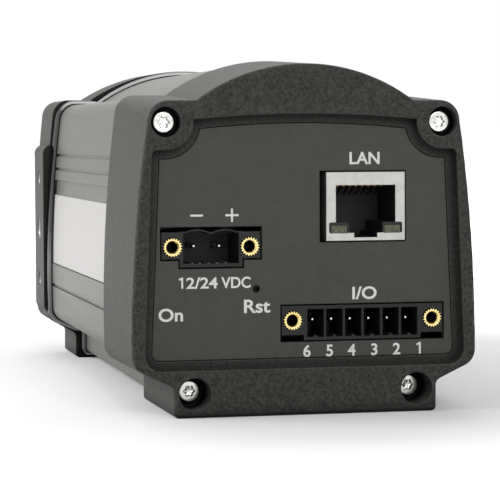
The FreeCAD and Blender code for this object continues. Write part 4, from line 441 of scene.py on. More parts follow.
# %% Special finishes
def lamp_window_finish():
    """Olive plastic that scatters light inside."""
    material = finish("lamp window", (122, 124, 86), (20, 24, 16), 0.3, grain=2200, depth=0.01, edge=0.0001)
    set_node(material.node_tree.nodes["Principled BSDF"], in_Subsurface_Weight=0.35,
             in_Subsurface_Radius=(0.0008, 0.0009, 0.0004))
    return material


def germanium_finish():
    """A dark mirror whose tone turns with the viewing angle, as an infrared coating's does."""
    material, tree, shader = new_material("coated germanium", in_Metallic=0.85, in_Roughness=0.06)
    facing = add_node(tree, "ShaderNodeLayerWeight", in_Blend=0.35)
    tint = add_node(tree, "ShaderNodeValToRGB")
    tint.color_ramp.elements[0].color = linear(70, 66, 92)
    tint.color_ramp.elements[1].color = linear(150, 128, 96)
    tree.links.new(facing.outputs["Facing"], tint.inputs["Fac"])
    tree.links.new(tint.outputs["Color"], shader.inputs["Base Color"])
    return material


finishes["lamp_lens"] = lamp_window_finish()
finishes["germanium"] = germanium_finish()
panel_ink = finish("panel ink", (254, 254, 252), (250, 250, 247), 0.5, grain=2500, depth=0.002, edge=0.00002)
print("special finishes: lamp window, coated germanium, panel ink")

# %% Finishes on the frame's pieces
slot_of = {part["node"]: part["material_slot"] for part in frame["record"]["subparts"]}
for node, piece in nodes.items():
    piece.data.materials.clear()
    piece.data.materials.append(finishes[slot_of[node]])
print("dressed:", len(nodes), "pieces")

# %% [markdown]
# ## Collar bead
#
# Between the extrusion and the front casting runs a glossy black bead. It could be a fillet on the
# collar's solid, but a fillet follows the outline's corners badly. Here the collar's own outline is
# read from its mesh, and a quarter of a round is carried along it, so the highlight runs unbroken.

# %% Outline of a piece
plane_gap = 0.01
ray_slack = 0.001


def outline_at(node, y_plane, count=720):
    """The outer outline in the plane y. Each ray from the middle keeps its farthest crossing with an
    edge a + t (b - a): with u the ray's direction, t = cross(a, u) / cross(u, b - a), clipped to 0..1."""
    mesh = nodes[node].data
    points = np.empty(len(mesh.vertices) * 3, np.float32)
    mesh.vertices.foreach_get("co", points)
    points = points.reshape(-1, 3) / mm
    edges = np.empty(len(mesh.edges) * 2, np.int32)
    mesh.edges.foreach_get("vertices", edges)
    edges = edges.reshape(-1, 2)
    flat = np.abs(points[edges][:, :, 1] - y_plane).max(1) < plane_gap
    starts, ends = points[edges[flat]][:, 0][:, [0, 2]], points[edges[flat]][:, 1][:, [0, 2]]
    middle = (starts.min(0) + starts.max(0)) / 2
    angle = round_angles(count)
    ray = np.stack([np.cos(angle), np.sin(angle)], -1)[:, None, :]
    first, along = (starts - middle)[None], (ends - starts)[None]
    across = ray[..., 0] * along[..., 1] - ray[..., 1] * along[..., 0]
    across = np.where(np.abs(across) < 1e-9, np.inf, across)
    share = (first[..., 0] * ray[..., 1] - first[..., 1] * ray[..., 0]) / across
    reach = ((first + share[..., None] * along) * ray).sum(-1)
    reach = np.where(np.abs(share - 0.5) <= 0.5 + ray_slack, reach, 0).max(1)
    return middle + ray[:, 0, :] * reach[:, None]


def evenly_spaced(outline, count):
    """The closed outline resampled at equal lengths along itself."""
    closed = np.concatenate([outline, outline[:1]])
    length = np.concatenate([[0], np.cumsum(np.linalg.norm(np.diff(closed, axis=0), axis=1))])
    stops = np.linspace(0, length[-1], count, endpoint=False)
    return np.stack([np.interp(stops, length, closed[:, axis]) for axis in (0, 1)], -1)


# %% Bead round the collar
bead_rise = 0.85
bead_seat = 0.05
bead_fullness = 1.7
bead_low, bead_high = box_mm("front_collar")


def collar_bead(count=900):
    """The outline moved out along its normal by h (1 - (1 - t)^f), with t from the rear to the front."""
    outline = evenly_spaced(outline_at("front_collar", bead_low[1]), count)
    run = np.roll(outline, -1, axis=0) - np.roll(outline, 1, axis=0)
    outward = np.stack([run[:, 1], -run[:, 0]], -1) / np.linalg.norm(run, axis=1)[:, None]
    share = np.linspace(0, 1, 13)
    rise = bead_rise * (1 - (1 - share) ** bead_fullness)
    lift = np.concatenate([[-bead_seat], rise, [-bead_seat, -bead_seat]])
    along = bead_low[1] + (bead_high[1] - bead_low[1]) * np.concatenate([[0], share, [1, 0]])
    flat = outline[None] + lift[:, None, None] * outward[None]
    y = np.repeat(along[:, None], count, 1)
    return np.stack([flat[..., 0], y, flat[..., 1]], -1).reshape(-1, 3), grid_faces(len(lift), count)


make_piece("front_collar_bead", [collar_bead()], "collar_trim")

# %% [markdown]
# ## Housing screws
#
# Four bright screws with a six-lobed drive hold the rear cover, deep in their counterbores, and
# four more hold the front casting. A screw could be a cylinder with a cut, but the drive's lobes are
# part of the same turned surface: the profile runs from the drive's floor up its wall, over the
# head and down the shank, and only the wall's radius follows the lobes.

# %% Screw measures
head_radius = 2.2
head_height = 1.8
shank_radius = 1.5
thread_depth = 0.2
thread_pitch = 0.6
drive_radius = 1.15
drive_depth = 1.1
lobe_depth = 0.13
head_round = 0.35
tip_length = 0.4
thread_rows = 6
lower_screw_x = 22.2
lower_head_depth = 6.2


def six_lobes(angle, radius):
    """The drive's outline: r = R (1 - d + d cos 6a)."""
    return radius * (1 - lobe_depth + lobe_depth * np.cos(6 * angle))


def housing_screw(x, z, head_y, end_y):
    """One screw along Y from its head to its end. On the shank the radius is R - d |2 frac(p) - 1|, with
    p = y / pitch - a / 2 pi, a thread that climbs one pitch per turn."""
    count = 60
    angle = round_angles(count)
    way = np.sign(end_y - head_y)
    length = abs(end_y - head_y)
    drive = np.stack([six_lobes(angle, share * drive_radius) for share in (0.02, 0.5, 0.9, 0.96, 1.0, 1.07)])
    drive_at = np.array([1.0, 0.92, 0.86, 0.5, 0.08, 0.0]) * drive_depth
    turn = np.linspace(0, np.pi / 2, 7)
    edge_at = head_round * (1 - np.cos(turn))
    edge_radius = head_radius - head_round + head_round * np.sin(turn)
    shoulder_at = np.array([head_height * 0.94, head_height, head_height])
    shoulder_radius = np.array([head_radius, head_radius - 0.08, shank_radius])
    thread_count = max(int((length - head_height) / thread_pitch * thread_rows), 12)
    thread_at = np.linspace(head_height + 1, length - 1, thread_count)
    phase = thread_at[:, None] / thread_pitch - angle[None, :] / (2 * np.pi)
    thread_radius = shank_radius - thread_depth * ridge(phase)
    tip_at = np.array([length - tip_length, length, length])
    tip_radius = np.array([shank_radius - thread_depth, shank_radius * 0.7, 0.0])
    along = np.concatenate([drive_at, edge_at, shoulder_at, thread_at, tip_at])
    plain = [np.repeat(r[:, None], count, 1) for r in (edge_radius, shoulder_radius)]
    radius = np.concatenate([drive, *plain, thread_radius, np.repeat(tip_radius[:, None], count, 1)])
    radius[0] = 0
    return turned(head_y + way * along, radius, x, z, count)


# %% Rear and front screws
low, high = box_mm("cover_screws")
upper_screw_x = high[0] - head_radius
upper_screw_z = high[2] - head_radius
lower_screw_z = low[2] + head_radius
lower_head_y = box_mm("rear_bezel")[0][1] + lower_head_depth
screw_places = [(side * upper_screw_x, upper_screw_z, low[1]) for side in (-1, 1)]
screw_places += [(side * lower_screw_x, lower_screw_z, lower_head_y) for side in (-1, 1)]
make_piece("cover_screws_threaded", [housing_screw(x, z, y, high[1]) for x, z, y in screw_places],
           "screw_steel", replaced=["cover_screws"])
front_low, front_high = box_mm("front_screws")
make_piece("front_screws_threaded",
           [housing_screw(x, z, front_high[1], front_low[1]) for x, z, _ in screw_places],
           "screw_steel", replaced=["front_screws"])

# %% [markdown]
# ## Mounting threads
#
# The casting's three mounting faces are tapped after coating, so their threads are bare metal and
# catch the light. Each is a thin lining of its hole. Turned along Y first, its coordinates are then
# swapped, so that the same formula serves the holes that run along X and along Z.

# %% Bare threads in the mounting holes
lining = 0.12
thread_length = 6.0
thread_start = 0.3
rows_per_turn = 8
thread_end = 0.1
hole_play = 0.01
tripod_pitch = 1.27
bolt_pitch = 0.7


def bare_thread(radius, pitch):
    """Outer radius r, inner radius r - w + w / 2 |2 frac(p) - 1|, with p = y / pitch + a / 2 pi."""
    count = 40
    angle = round_angles(count)
    depth = np.linspace(thread_start, thread_length, int(thread_length / pitch * rows_per_turn))
    phase = depth[:, None] / pitch + angle[None] / (2 * np.pi)
    ridged = radius - lining + lining / 2 * ridge(phase)
    outer = np.full((1, count), radius - hole_play)
    along = np.concatenate([[thread_length, thread_end], depth, [thread_length]])
    return turned(along, np.concatenate([outer, outer, ridged, outer]), 0, 0, count)


def bare_hole(place, axis, radius, pitch):
    """The lining's own Y runs inwards from the face, and the two other coordinates spread round the hole."""
    points, faces = bare_thread(radius, pitch)
    inward = -np.array(axis, float)
    side = np.array([0.0, 1.0, 0.0])
    other = np.cross(inward, side)
    return place + points[:, 1:2] * inward + points[:, 0:1] * side + points[:, 2:3] * other, faces


threads = []
for where in ("left", "right", "base"):
    tripod, bolts = mounts[f"{where}_tripod_thread"], mounts[f"{where}_bolts"]
    middle = mount_mm(f"{where}_tripod_thread")
    along_face = np.array([1.0, 0, 0]) if where == "base" else np.array([0, 0, 1.0])
    half_spacing = max(value for key, value in bolts["dims"].items() if key.startswith("spacing")) / 2
    threads.append(bare_hole(middle, tripod["axis"], tripod["dims"]["r_mm"], tripod_pitch))
    threads += [bare_hole(middle + side * half_spacing * along_face, bolts["axis"],
                          bolts["dims"]["hole_r_mm"], bolt_pitch) for side in (-1, 1)]
make_piece("mounting_threads_bare", threads, "plate_metal")

# %% [markdown]
# ## Flange nuts
#
# Each header ends in two brass nuts for the plug's screws. The photograph shows their knurl and the
# dark thread inside. Both are modulations of a ring's surface: teeth on the outside by the angle,
# and a ridge on the inside that climbs one pitch per turn. The bore's faces take a darker brass,
# partly oxidised brass and partly painted shade.

# %% Knurled nuts with an inner thread
nut_radius = 1.95
nut_bore = 1.02
nut_length = 6.0
knurl_teeth = 20
knurl_depth = 0.42
nut_chamfer = 0.06
nut_mouth = 0.3
nut_thread_start = 0.25
nut_thread_pitch = 0.45
nut_thread_depth = 0.16
shade_margin = 0.2
shade_from = 0.3
# A darker brass for the bore's faces: partly oxidised brass, partly painted shade.
bore_oxide_and_painted_shade = finish("bore oxide and painted shade", (96, 74, 34), (62, 46, 20), 0.4, metallic=0.9, grain=1400, depth=0.002)


def knurled_nut(x, z, face_y):
    """Outer radius R - d |2 frac(n a / 2 pi) - 1|, pointed teeth, and inner radius r + t |2 frac(p) - 1|,
    with p = y / pitch + a / 2 pi, a thread that climbs one pitch per turn."""
    count = knurl_teeth * 12
    angle = round_angles(count)
    knurl = nut_radius - knurl_depth * ridge(angle * knurl_teeth / (2 * np.pi))
    outer_at = np.array([0.0, nut_chamfer, nut_length * 0.5, nut_length])
    outer = np.stack([knurl - nut_chamfer, knurl, knurl, knurl])
    inner_at = np.linspace(nut_length, nut_thread_start, 70)
    phase = inner_at[:, None] / nut_thread_pitch + angle[None, :] / (2 * np.pi)
    inner = nut_bore + nut_thread_depth * ridge(phase)
    mouth = np.full((1, count), nut_bore + nut_mouth)
    along = np.concatenate([outer_at, inner_at, [0.0, 0.0]])
    radius = np.concatenate([outer, inner, mouth, outer[:1]])
    return turned(face_y + along, radius, x, z, count)


for header, plug in (("power", "power_plug_screws"), ("io", "io_plug_screws")):
    middle = mount_mm(plug)
    half = mounts[plug]["dims"]["spacing_x_mm"] / 2
    nuts = make_piece(f"{header}_nuts_knurled",
                      [knurled_nut(middle[0] + side * half, middle[2], middle[1]) for side in (-1, 1)],
                      "nut_brass", replaced=[f"{header}_flange_nuts"])
    # Faces inside the bore take the darker brass, painted shade in part.
    nuts.data.materials.append(bore_oxide_and_painted_shade)
    centres = np.empty(len(nuts.data.polygons) * 3, np.float32)
    nuts.data.polygons.foreach_get("center", centres)
    centres = centres.reshape(-1, 3) / mm
    from_axis = np.hypot(np.abs(centres[:, 0] - middle[0]) - half, centres[:, 2] - middle[2])
    in_bore = (from_axis < nut_bore + shade_margin) & (centres[:, 1] > middle[1] + shade_from)
    nuts.data.polygons.foreach_set("material_index", in_bore.astype(np.int32))

# %% [markdown]
# ## Power socket's mouth
#
# The power socket's wall is thin on top and follows the two round humps that guide the plug, so the
# dark mouth has humps too. The frame gives the block with a straight mouth. The whole block could be
# built anew, but cutting keeps its other faces as they are: a copy of it is merged and cut by a
# prism with the same humps, a lip lower, and small coding ribs are laid on its floor.

# %% Measures of the power socket, from its pins
mouth_half = 5.5
mouth_top = 3.0
valley_drop = 0.3
hump_pitch = 4.96
hump_rise = 0.6
lip = 0.3
mouth_depth = 7.5
mouth_base = 2.0
mouth_middle = 2.2
mouth_floor = -3.2
coding_ribs = (-3.66, -2.18, -0.4, 1.3, 2.97)
power_x, power_z = mount_mm("power_plug_screws")[[0, 2]]
power_face = box_mm("power_header_housing")[0][1]


def mouth_prism():
    """Top edge z = top - v (1 - s) + h (1 - (2 s - 1)^2) - lip, with s = |x| / the pitch of the humps."""
    x = np.linspace(-mouth_half, mouth_half, 89)
    share = np.clip(np.abs(x) / hump_pitch, 0, 1)
    top = mouth_top - valley_drop * (1 - share) + hump_rise * (1 - (2 * share - 1) ** 2) - lip
    base = [[mouth_half, mouth_base], [0.0, mouth_base], [-mouth_half, mouth_base]]
    outline = np.concatenate([np.stack([x, top], -1), base])
    middle = np.array([0.0, mouth_middle])
    flat = middle + np.array([0, 1, 1, 0])[:, None, None] * (outline - middle)[None]
    along = power_face + np.array([-0.5, -0.5, mouth_depth, mouth_depth])
    y = np.repeat(along[:, None], len(outline), 1)
    points = np.stack([power_x + flat[..., 0], y, power_z + flat[..., 1]], -1)
    return points.reshape(-1, 3), grid_faces(4, len(outline))


# %% Merge a copy of the block and cut the mouth
corner_gap = 0.0005 * mm


def merged_copy(node):
    """A copy of a frame mesh whose loose triangles share their corners."""
    mesh = nodes[node].data.copy()
    clean_mesh(mesh, corner_gap, outward=False)
    return mesh


block = new_object("power block", merged_copy("power_header_housing"))
prism = new_object("mouth prism", joined_mesh("mouth prism", [mouth_prism()]))
cut = block.modifiers.new("mouth", "BOOLEAN")
cut.operation = "DIFFERENCE"
cut.solver = "EXACT"
cut.object = prism
bpy.context.view_layer.update()
seen_block = block.evaluated_get(bpy.context.evaluated_depsgraph_get())
power_mesh = bpy.data.meshes.new_from_object(seen_block)
for holder in (block, prism):
    bpy.data.objects.remove(holder)
power_mesh.materials.clear()
power_mesh.materials.append(finishes["connector_black"])
place_mesh("power_header_mouth", power_mesh, replaced=["power_header_housing"])


# %% Coding ribs
rib_radius = 0.3
rib_inset = 0.15
rib_length = 6.0


def coding_rib(x):
    """A half-sunk rod along Y with a domed end: radius R sin a at the distance R (1 - cos a)."""
    turn = np.linspace(0, np.pi / 2, 6)
    radius = np.concatenate([rib_radius * np.sin(turn), [rib_radius, 0.0]])
    along = power_face + rib_inset + np.concatenate([rib_radius * (1 - np.cos(turn)), [rib_length] * 2])
    return turned(along, radius, power_x + x, power_z + mouth_floor, 16)


rib_black = finish("rib black", (96, 98, 98), (74, 76, 76), 0.3, grain=1500, depth=0.004)
make_piece("power_header_ribs", [coding_rib(x) for x in coding_ribs], "connector_black", rib_black)

# %% [markdown]
# ## Frames of the lamp windows
#
# The two lamp windows of the network jack sit in black plastic that comes up to the shield's face. A
# frame could be cut out of a block. Here it is a ring between two rounded rectangles,
# |x / a|^10 + |z / b|^10 = 1, one grid whose corners come out of the formula.

# %% Lamp frames
frame_wall = 0.42
frame_head = 0.3
frame_proud = 0.06
frame_back = 0.3
frame_overlap = 0.02
lamp_width = 3.2


def lamp_frame(low, high):
    """Rows run from the outer back to the outer front, the inner front and the inner back."""
    count = 120
    angle = round_angles(count)
    middle, half = (low + high) / 2, (high - low) / 2
    rows = []
    section = ((frame_wall, frame_back), (frame_wall, -frame_proud), (-frame_overlap, -frame_proud),
               (-frame_overlap, frame_back), (frame_wall, frame_back))
    for grow, y in section:
        a, b = half[0] + grow, half[2] + (frame_head if grow > 0 else grow)
        reach = (np.abs(np.cos(angle) / a) ** 10 + np.abs(np.sin(angle) / b) ** 10) ** -0.1
        lift = frame_head if grow > 0 else 0.0
        rows.append(np.stack([middle[0] + reach * np.cos(angle), np.full(count, shield_face + y),
                              middle[2] + lift + reach * np.sin(angle)], -1))
    return np.concatenate(rows), grid_faces(len(rows), count)


shield_face = box_mm("network_jack_shield")[0][1]
lamp_node = next(name for name in sorted(nodes) if slot_of[name] == "lamp_lens")
lamp_low, lamp_high = box_mm(lamp_node)
frames = []
for left in (lamp_low[0], lamp_high[0] - lamp_width):
    frames.append(lamp_frame(np.array([left, 0, lamp_low[2]]),
                             np.array([left + lamp_width, 0, lamp_high[2]])))
make_piece("lamp_window_frames", frames, "connector_black")

# %% [markdown]
# ## Header pins
#
# The plug slides over square pins with tapered tips. They could be bevelled boxes, but a square with
# slightly rounded corners is the curve |x|^8 + |y|^8 = h^8, and the taper only scales it along the
# pin, so one turned grid draws both.

# %% Square pins
pin_half = 0.45
tip_steps = np.array([0.0, 0.0, 0.15, 0.9, 1.2])
tip_shares = np.array([0.0, 0.4, 0.55, 0.94, 1.0])


def square_pin(x, z, tip_y, end_y):
    """A turned grid whose radius h / (|cos a|^8 + |sin a|^8)^(1/8) draws a square with rounded corners."""
    count = 32
    angle = round_angles(count)
    square = pin_half / (np.abs(np.cos(angle)) ** 8 + np.abs(np.sin(angle)) ** 8) ** 0.125
    along = np.concatenate([tip_y + tip_steps, [end_y, end_y]])
    share = np.concatenate([tip_shares, [1, 0]])
    return turned(along, share[:, None] * square, x, z, count)


def pin_row(node, count):
    """Places for evenly spaced pins across the box of the frame's pins."""
    low, high = box_mm(node)
    places = np.linspace(low[0] + pin_half, high[0] - pin_half, count)
    return [square_pin(x, (low[2] + high[2]) / 2, low[1], high[1]) for x in places]


for node, count in (("power_header_pins", 2), ("io_header_pins", 6)):
    make_piece(node + "_tapered", pin_row(node, count), "pin_tin", replaced=[node])

# %% [markdown]
# ## Network contacts
#
# Eight gold wires run along the roof of the network socket and slant down into it. A curve with a
# bevel would do, but its ends stay open, so each is a rounded section carried along a bent path.

# %% Sprung contacts
contact_count = 8
wire_half = 0.19
contact_inset = 1.2
straight_share = 0.12
sag = 0.12
end_step = 0.001


def carried_wire(x, path_y, path_z, half):
    """Section (cos b, sin b) to the power 0.6 set square to the path: n = (-dz, dy) / |d|."""
    around = round_angles(12)
    side = half * np.sign(np.cos(around)) * np.abs(np.cos(around)) ** 0.6
    rise = half * np.sign(np.sin(around)) * np.abs(np.sin(around)) ** 0.6
    slope_y, slope_z = np.gradient(path_y), np.gradient(path_z)
    size = np.hypot(slope_y, slope_z)
    taper = np.ones(len(path_y))
    taper[[0, -1]] = 0
    y = path_y[:, None] - taper[:, None] * rise * (slope_z / size)[:, None]
    z = path_z[:, None] + taper[:, None] * rise * (slope_y / size)[:, None]
    points = np.stack([x + taper[:, None] * side, y, z], -1)
    return points.reshape(-1, 3), grid_faces(len(path_y), len(around))


low, high = box_mm("network_jack_contacts")
share = np.linspace(0, 1, 26)
contact_y = low[1] + contact_inset + (high[1] - low[1] - contact_inset) * share
contact_y[[0, -1]] = contact_y[[1, -2]]
contact_y[[0, -1]] += (-end_step, end_step)
drop = np.clip((share - straight_share) / (1 - straight_share), 0, 1)
fall = (high[2] - low[2] - 2 * wire_half) * (drop - sag * np.sin(2 * np.pi * drop))
contact_z = high[2] - wire_half - fall
contact_x = np.linspace(low[0] + wire_half, high[0] - wire_half, contact_count)
make_piece("network_contacts_bent", [carried_wire(x, contact_y, contact_z, wire_half) for x in contact_x],
           "contact_gold", replaced=["network_jack_contacts"])

# %% [markdown]
# ## Front lens
#
# The lens's outer face is a shallow dome, flat in the frame. A cut sphere would need its own seat. As
# a turned surface its height is that of a sphere's cap, so reflections slide over it without facets.

# %% Domed lens
lens_low, lens_high = box_mm("front_lens")
lens_radius = (lens_high[0] - lens_low[0]) / 2
lens_middle = (lens_low[2] + lens_high[2]) / 2
crown = 2.0
back_bevel = 0.2
dome_seat = 0.05
edge_y = lens_high[1] - crown
dome_share = np.linspace(1, 0, 20)
cap_radius = (lens_radius ** 2 + crown ** 2) / (2 * crown)
dome = np.sqrt(cap_radius ** 2 - (lens_radius * dome_share) ** 2) - (cap_radius - crown)
back = lens_low[1]
lens_along = np.concatenate([[back, back, back + back_bevel, edge_y - dome_seat], edge_y + dome])
lens_reach = np.concatenate([[0, lens_radius - back_bevel, lens_radius, lens_radius],
                             lens_radius * dome_share])
make_piece("front_lens_domed", [turned(lens_along, lens_reach, 0, lens_middle, 96)], "germanium",
           body="lens_cell_body", replaced=["front_lens"])

# %% [markdown]
# ## Lettering on the panel
#
# The sockets are marked in white ink: supply voltage, polarity, network, reset, and the six signals
# by number. Blender's text gives the letters, where an image would blur. Each word is scaled to its
# width and capital height on the panel, then laid on its face as a mesh. The digit 1 and the
# polarity signs differ from the font's, so they are short outlines of their own.

# %% Words
panel_face = box_mm("rear_panel")[0][1]
ink_thickness = 0.02
ink_gap = 0.00001 * mm
stroke_growth = 0.022
font_extrusion = 0.01


def word_mesh(text):
    """Text as a flat mesh with its letters' outlines, in font units."""
    curve = bpy.data.curves.new("word", "FONT")
    curve.body = text
    curve.extrude = font_extrusion
    curve.offset = stroke_growth
    holder = new_object("word", curve)
    bpy.context.view_layer.update()
    mesh = bpy.data.meshes.new_from_object(holder)
    points = np.empty(len(mesh.vertices) * 3, np.float32)
    mesh.vertices.foreach_get("co", points)
    points = points.reshape(-1, 3)
    faces = [tuple(face.vertices) for face in mesh.polygons]
    bpy.data.objects.remove(holder)
    bpy.data.meshes.remove(mesh)
    bpy.data.curves.remove(curve)
    return points, faces


capital_height = np.ptp(word_mesh("H")[0][:, 1])


def word_on_panel(text, left, right, baseline, height):
    """Font x and y become X and Z. A word is stretched to right - left; a single figure keeps its shape."""
    points, faces = word_mesh(text)
    middle = (points[:, 0].min() + points[:, 0].max()) / 2
    width = np.ptp(points[:, 0]) * height / capital_height if len(text) == 1 else right - left
    x = (left + right) / 2 + (points[:, 0] - middle) / np.ptp(points[:, 0]) * width
    z = baseline + points[:, 1] * height / capital_height
    y = panel_face - ink_thickness / 2 - points[:, 2] / font_extrusion * ink_thickness / 2
    return np.stack([x, y, z], -1), faces


# %% Marks and their places, in millimetres on the panel
words = [
    ("2/24", -23.43, -17.24, 24.95, 2.15), ("VDC", -16.54, -10.7, 24.95, 2.15),
    ("Rst", -12.06, -6.8, 20.05, 2.6), ("I/O", 9.71, 14.67, 22.3, 2.45),
    ("LAN", 9.2, 15.3, 48.75, 2.4), ("On", -28.9, -24.1, 18.7, 2.5),
]
number_baseline = 11.2
number_half = 0.75
number_height = 2.3
number_places = (0.52, 5.09, 9.56, 14.17, 18.74, 23.33)
numbers = [(f"{6 - place}", x - number_half, x + number_half, number_baseline, number_height)
           for place, x in enumerate(number_places[:-1])]
ones = [(-24.4, 24.95, 2.15), (number_places[-1], number_baseline, number_height)]
sign_reach = 1.3
sign_stroke = 0.2
sign_height = 39.0
minus_x, plus_x = -21.32, -14.35


def flat_mark(corners):
    """A closed outline, corners in order, given the ink's thickness: two faces and a rim of quads."""
    flat = np.array(corners)
    count = len(flat)
    front = np.insert(flat, 1, panel_face - ink_thickness, axis=1)
    back = np.insert(flat, 1, panel_face, axis=1)
    ring = np.arange(count)
    after = np.roll(ring, -1)
    sides = np.stack([ring, after, count + after, count + ring], -1).tolist()
    return np.concatenate([front, back]), [ring.tolist(), (count + ring[::-1]).tolist(), *sides]


def one_on_panel(x, baseline, height):
    """The digit 1, an upright with a flag at its top: seven corners, in shares of the height."""
    corners = np.array([(0.0, 0.0), (0.17, 0.0), (0.17, 1.0), (0.03, 1.0), (-0.24, 0.84), (-0.18, 0.7),
                        (0.0, 0.79)])
    return flat_mark(np.array([x, baseline]) + corners * height)


def rounded_bar(x):
    """A bar with half-round ends of the stroke's radius."""
    turn = np.linspace(-np.pi / 2, np.pi / 2, 7)
    end = sign_reach - sign_stroke
    right = np.stack([end + sign_stroke * np.cos(turn), sign_stroke * np.sin(turn)], -1)
    return flat_mark(np.array([x, sign_height]) + np.concatenate([right, -right]))


def plus_on_panel(x):
    """Twelve corners: three for each arm, turned by a quarter three times."""
    arm = np.array([(sign_stroke, -sign_stroke), (sign_reach, -sign_stroke), (sign_reach, sign_stroke)])
    angles = np.arange(4) * math.pi / 2
    turns = [np.array([[math.cos(a), math.sin(a)], [-math.sin(a), math.cos(a)]]) for a in angles]
    return flat_mark(np.array([x, sign_height]) + np.concatenate([arm @ turn for turn in turns]))


def ink_piece(name, marks):
    """All marks as one mesh on the panel."""
    mesh = bpy.data.meshes.new(name)
    starts = np.cumsum([0] + [len(points) for points, faces in marks[:-1]])
    points = np.concatenate([points for points, faces in marks]) * mm
    faces = [tuple(int(corner + start) for corner in face)
             for (_, mark_faces), start in zip(marks, starts) for face in mark_faces]
    mesh.from_pydata(points.tolist(), [], faces)
    clean_mesh(mesh, ink_gap)
    mesh.materials.append(panel_ink)
    place_mesh(name, mesh)


ink_piece("panel_lettering", [word_on_panel(*mark) for mark in words + numbers] +
          [one_on_panel(*one) for one in ones] + [rounded_bar(minus_x), plus_on_panel(plus_x)])

# %% [markdown]
# ## Floor and light
#
# The photograph has a white ground with a soft shadow and light from the upper left. More light would
# whiten the ground but bleach the camera, so the floor and the world are white only in the rays that
# see them. A broad lamp gives the side its brightness, a weaker one behind us opens up the shadows,
# a long one above draws the highlight on the bead, and the world fills the rest.

# %% Rays that see the background
def rays_that_see(tree):
    """1 for a camera, glossy or transmission ray and 0 for the diffuse rays that light the object."""
    path = add_node(tree, "ShaderNodeLightPath")
    mirrored = add_node(tree, "ShaderNodeMath", operation="MAXIMUM")
    seen = add_node(tree, "ShaderNodeMath", operation="MAXIMUM")
    tree.links.new(path.outputs["Is Glossy Ray"], mirrored.inputs[0])
    tree.links.new(path.outputs["Is Transmission Ray"], mirrored.inputs[1])
    tree.links.new(path.outputs["Is Camera Ray"], seen.inputs[0])
    tree.links.new(mirrored.outputs[0], seen.inputs[1])
    return seen.outputs[0]


# %% Floor
def pale_floor():
    """A wide plane with some white of its own in the rays that see it directly, in metal or through
    glass. That white rises from near_white to far_white between two distances |(x, y)| from the
    middle. The same rays see a lighter tone, while the light thrown back at the object keeps the darker."""
    half = 6.0
    near_white, far_white = 0.15, 1.0
    fade_start, fade_end = 0.1, 0.4
    tone_lighting, tone_seen = 0.5, 0.88
    mesh = bpy.data.meshes.new("floor")
    corners = [(-half, -half, 0), (half, -half, 0), (half, half, 0), (-half, half, 0)]
    mesh.from_pydata(corners, [], [(0, 1, 2, 3)])
    floor = new_object("floor", mesh)
    material, tree, shader = new_material("pale floor", in_Roughness=0.85, in_Specular_IOR_Level=0.1,
                                          in_Emission_Color=(1, 1, 1, 1))
    place = add_node(tree, "ShaderNodeTexCoord")
    distance = add_node(tree, "ShaderNodeVectorMath", operation="LENGTH")
    rise = add_node(tree, "ShaderNodeMapRange", in_From_Min=fade_start, in_From_Max=fade_end,
                    in_To_Min=near_white, in_To_Max=far_white)
    whiten = add_node(tree, "ShaderNodeMath", operation="MULTIPLY")
    tone = add_node(tree, "ShaderNodeMapRange", in_To_Min=tone_lighting, in_To_Max=tone_seen)
    seen = rays_that_see(tree)
    tree.links.new(place.outputs["Object"], distance.inputs[0])
    tree.links.new(distance.outputs["Value"], rise.inputs["Value"])
    tree.links.new(rise.outputs["Result"], whiten.inputs[0])
    tree.links.new(seen, whiten.inputs[1])
    tree.links.new(seen, tone.inputs["Value"])
    tree.links.new(tone.outputs["Result"], shader.inputs["Base Color"])
    tree.links.new(whiten.outputs[0], shader.inputs["Emission Strength"])
    mesh.materials.append(material)
    print("floor:", 2 * half, "m wide, white from", near_white, "to", far_white)


pale_floor()

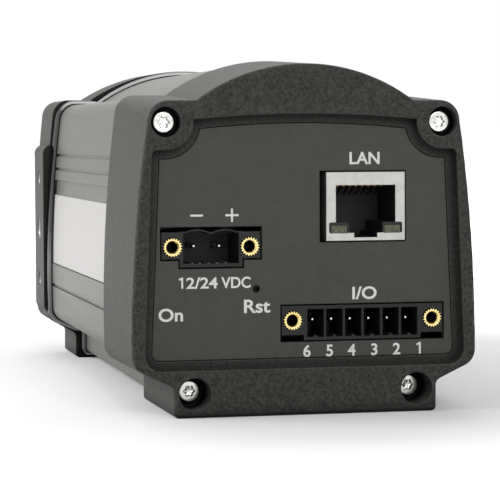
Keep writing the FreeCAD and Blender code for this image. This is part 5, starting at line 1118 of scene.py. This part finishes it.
# %% World and lamps
world = bpy.data.worlds.new("studio")
bpy.context.scene.world = world
world.use_nodes = True
sky = world.node_tree
ambient = set_node(sky.nodes["Background"], in_Color=(1, 1, 1, 1), in_Strength=0.28)
backdrop = add_node(sky, "ShaderNodeBackground", in_Color=(1, 1, 1, 1), in_Strength=1.0)
chooser = add_node(sky, "ShaderNodeMixShader")
sky.links.new(rays_that_see(sky), chooser.inputs[0])
sky.links.new(ambient.outputs[0], chooser.inputs[1])
sky.links.new(backdrop.outputs[0], chooser.inputs[2])
sky.links.new(chooser.outputs[0], sky.nodes["World Output"].inputs["Surface"])


def soft_lamp(name, place, aim, width, depth, power):
    """A rectangular area lamp at place that looks at aim."""
    lamp = bpy.data.lights.new(name, "AREA")
    lamp.shape = "RECTANGLE"
    lamp.energy = power
    lamp.size = width
    lamp.size_y = depth
    holder = new_object(name, lamp)
    holder.location = place
    holder.rotation_euler = (Vector(aim) - Vector(place)).to_track_quat("-Z", "Y").to_euler()
    print(name, "at", place, "with", power, "W")


aim = (0, -0.02, 0.035)
soft_lamp("key lamp", (-1.0, 0.1, 0.55), aim, 0.7, 0.7, 9.0)
soft_lamp("rear fill lamp", (0.1, -1.1, 0.55), aim, 0.6, 0.6, 4.0)
soft_lamp("top lamp", (-0.05, 0.6, 0.8), aim, 1.3, 0.5, 5.6)

# %% [markdown]
# ## Camera and sizes
#
# The camera stands where the photograph's did. Its place, its turn and its focal length were fitted
# to the rear cover's corners and to the sockets. A guessed view would shift every edge, so they
# aren't rounded. Depth of field stays off, because the photograph is sharp throughout.

# %% Camera at the photograph's place
camera_place = (-0.10459, -0.49808, 0.05393)
yaw, pitch, roll = math.radians(12.723), math.radians(-2.92), math.radians(-0.245)
forward = Vector((math.sin(yaw) * math.cos(pitch), math.cos(yaw) * math.cos(pitch), math.sin(pitch)))
right = Vector((math.cos(yaw), -math.sin(yaw), 0))
upward = right.cross(forward)
turned_right = math.cos(roll) * right + math.sin(roll) * upward
turned_up = math.cos(roll) * upward - math.sin(roll) * right
lens = bpy.data.cameras.new("photograph's camera")
lens.sensor_width = 36
lens.lens = 158.4
lens.clip_start = 0.01
eye = new_object("photograph's camera", lens)
turn = Matrix((turned_right, turned_up, -forward)).transposed().to_4x4()
eye.matrix_world = Matrix.Translation(camera_place) @ turn
bpy.context.scene.camera = eye
bpy.context.scene.view_settings.view_transform = "Standard"
print("camera at", camera_place, "with a lens of", lens.lens, "mm")
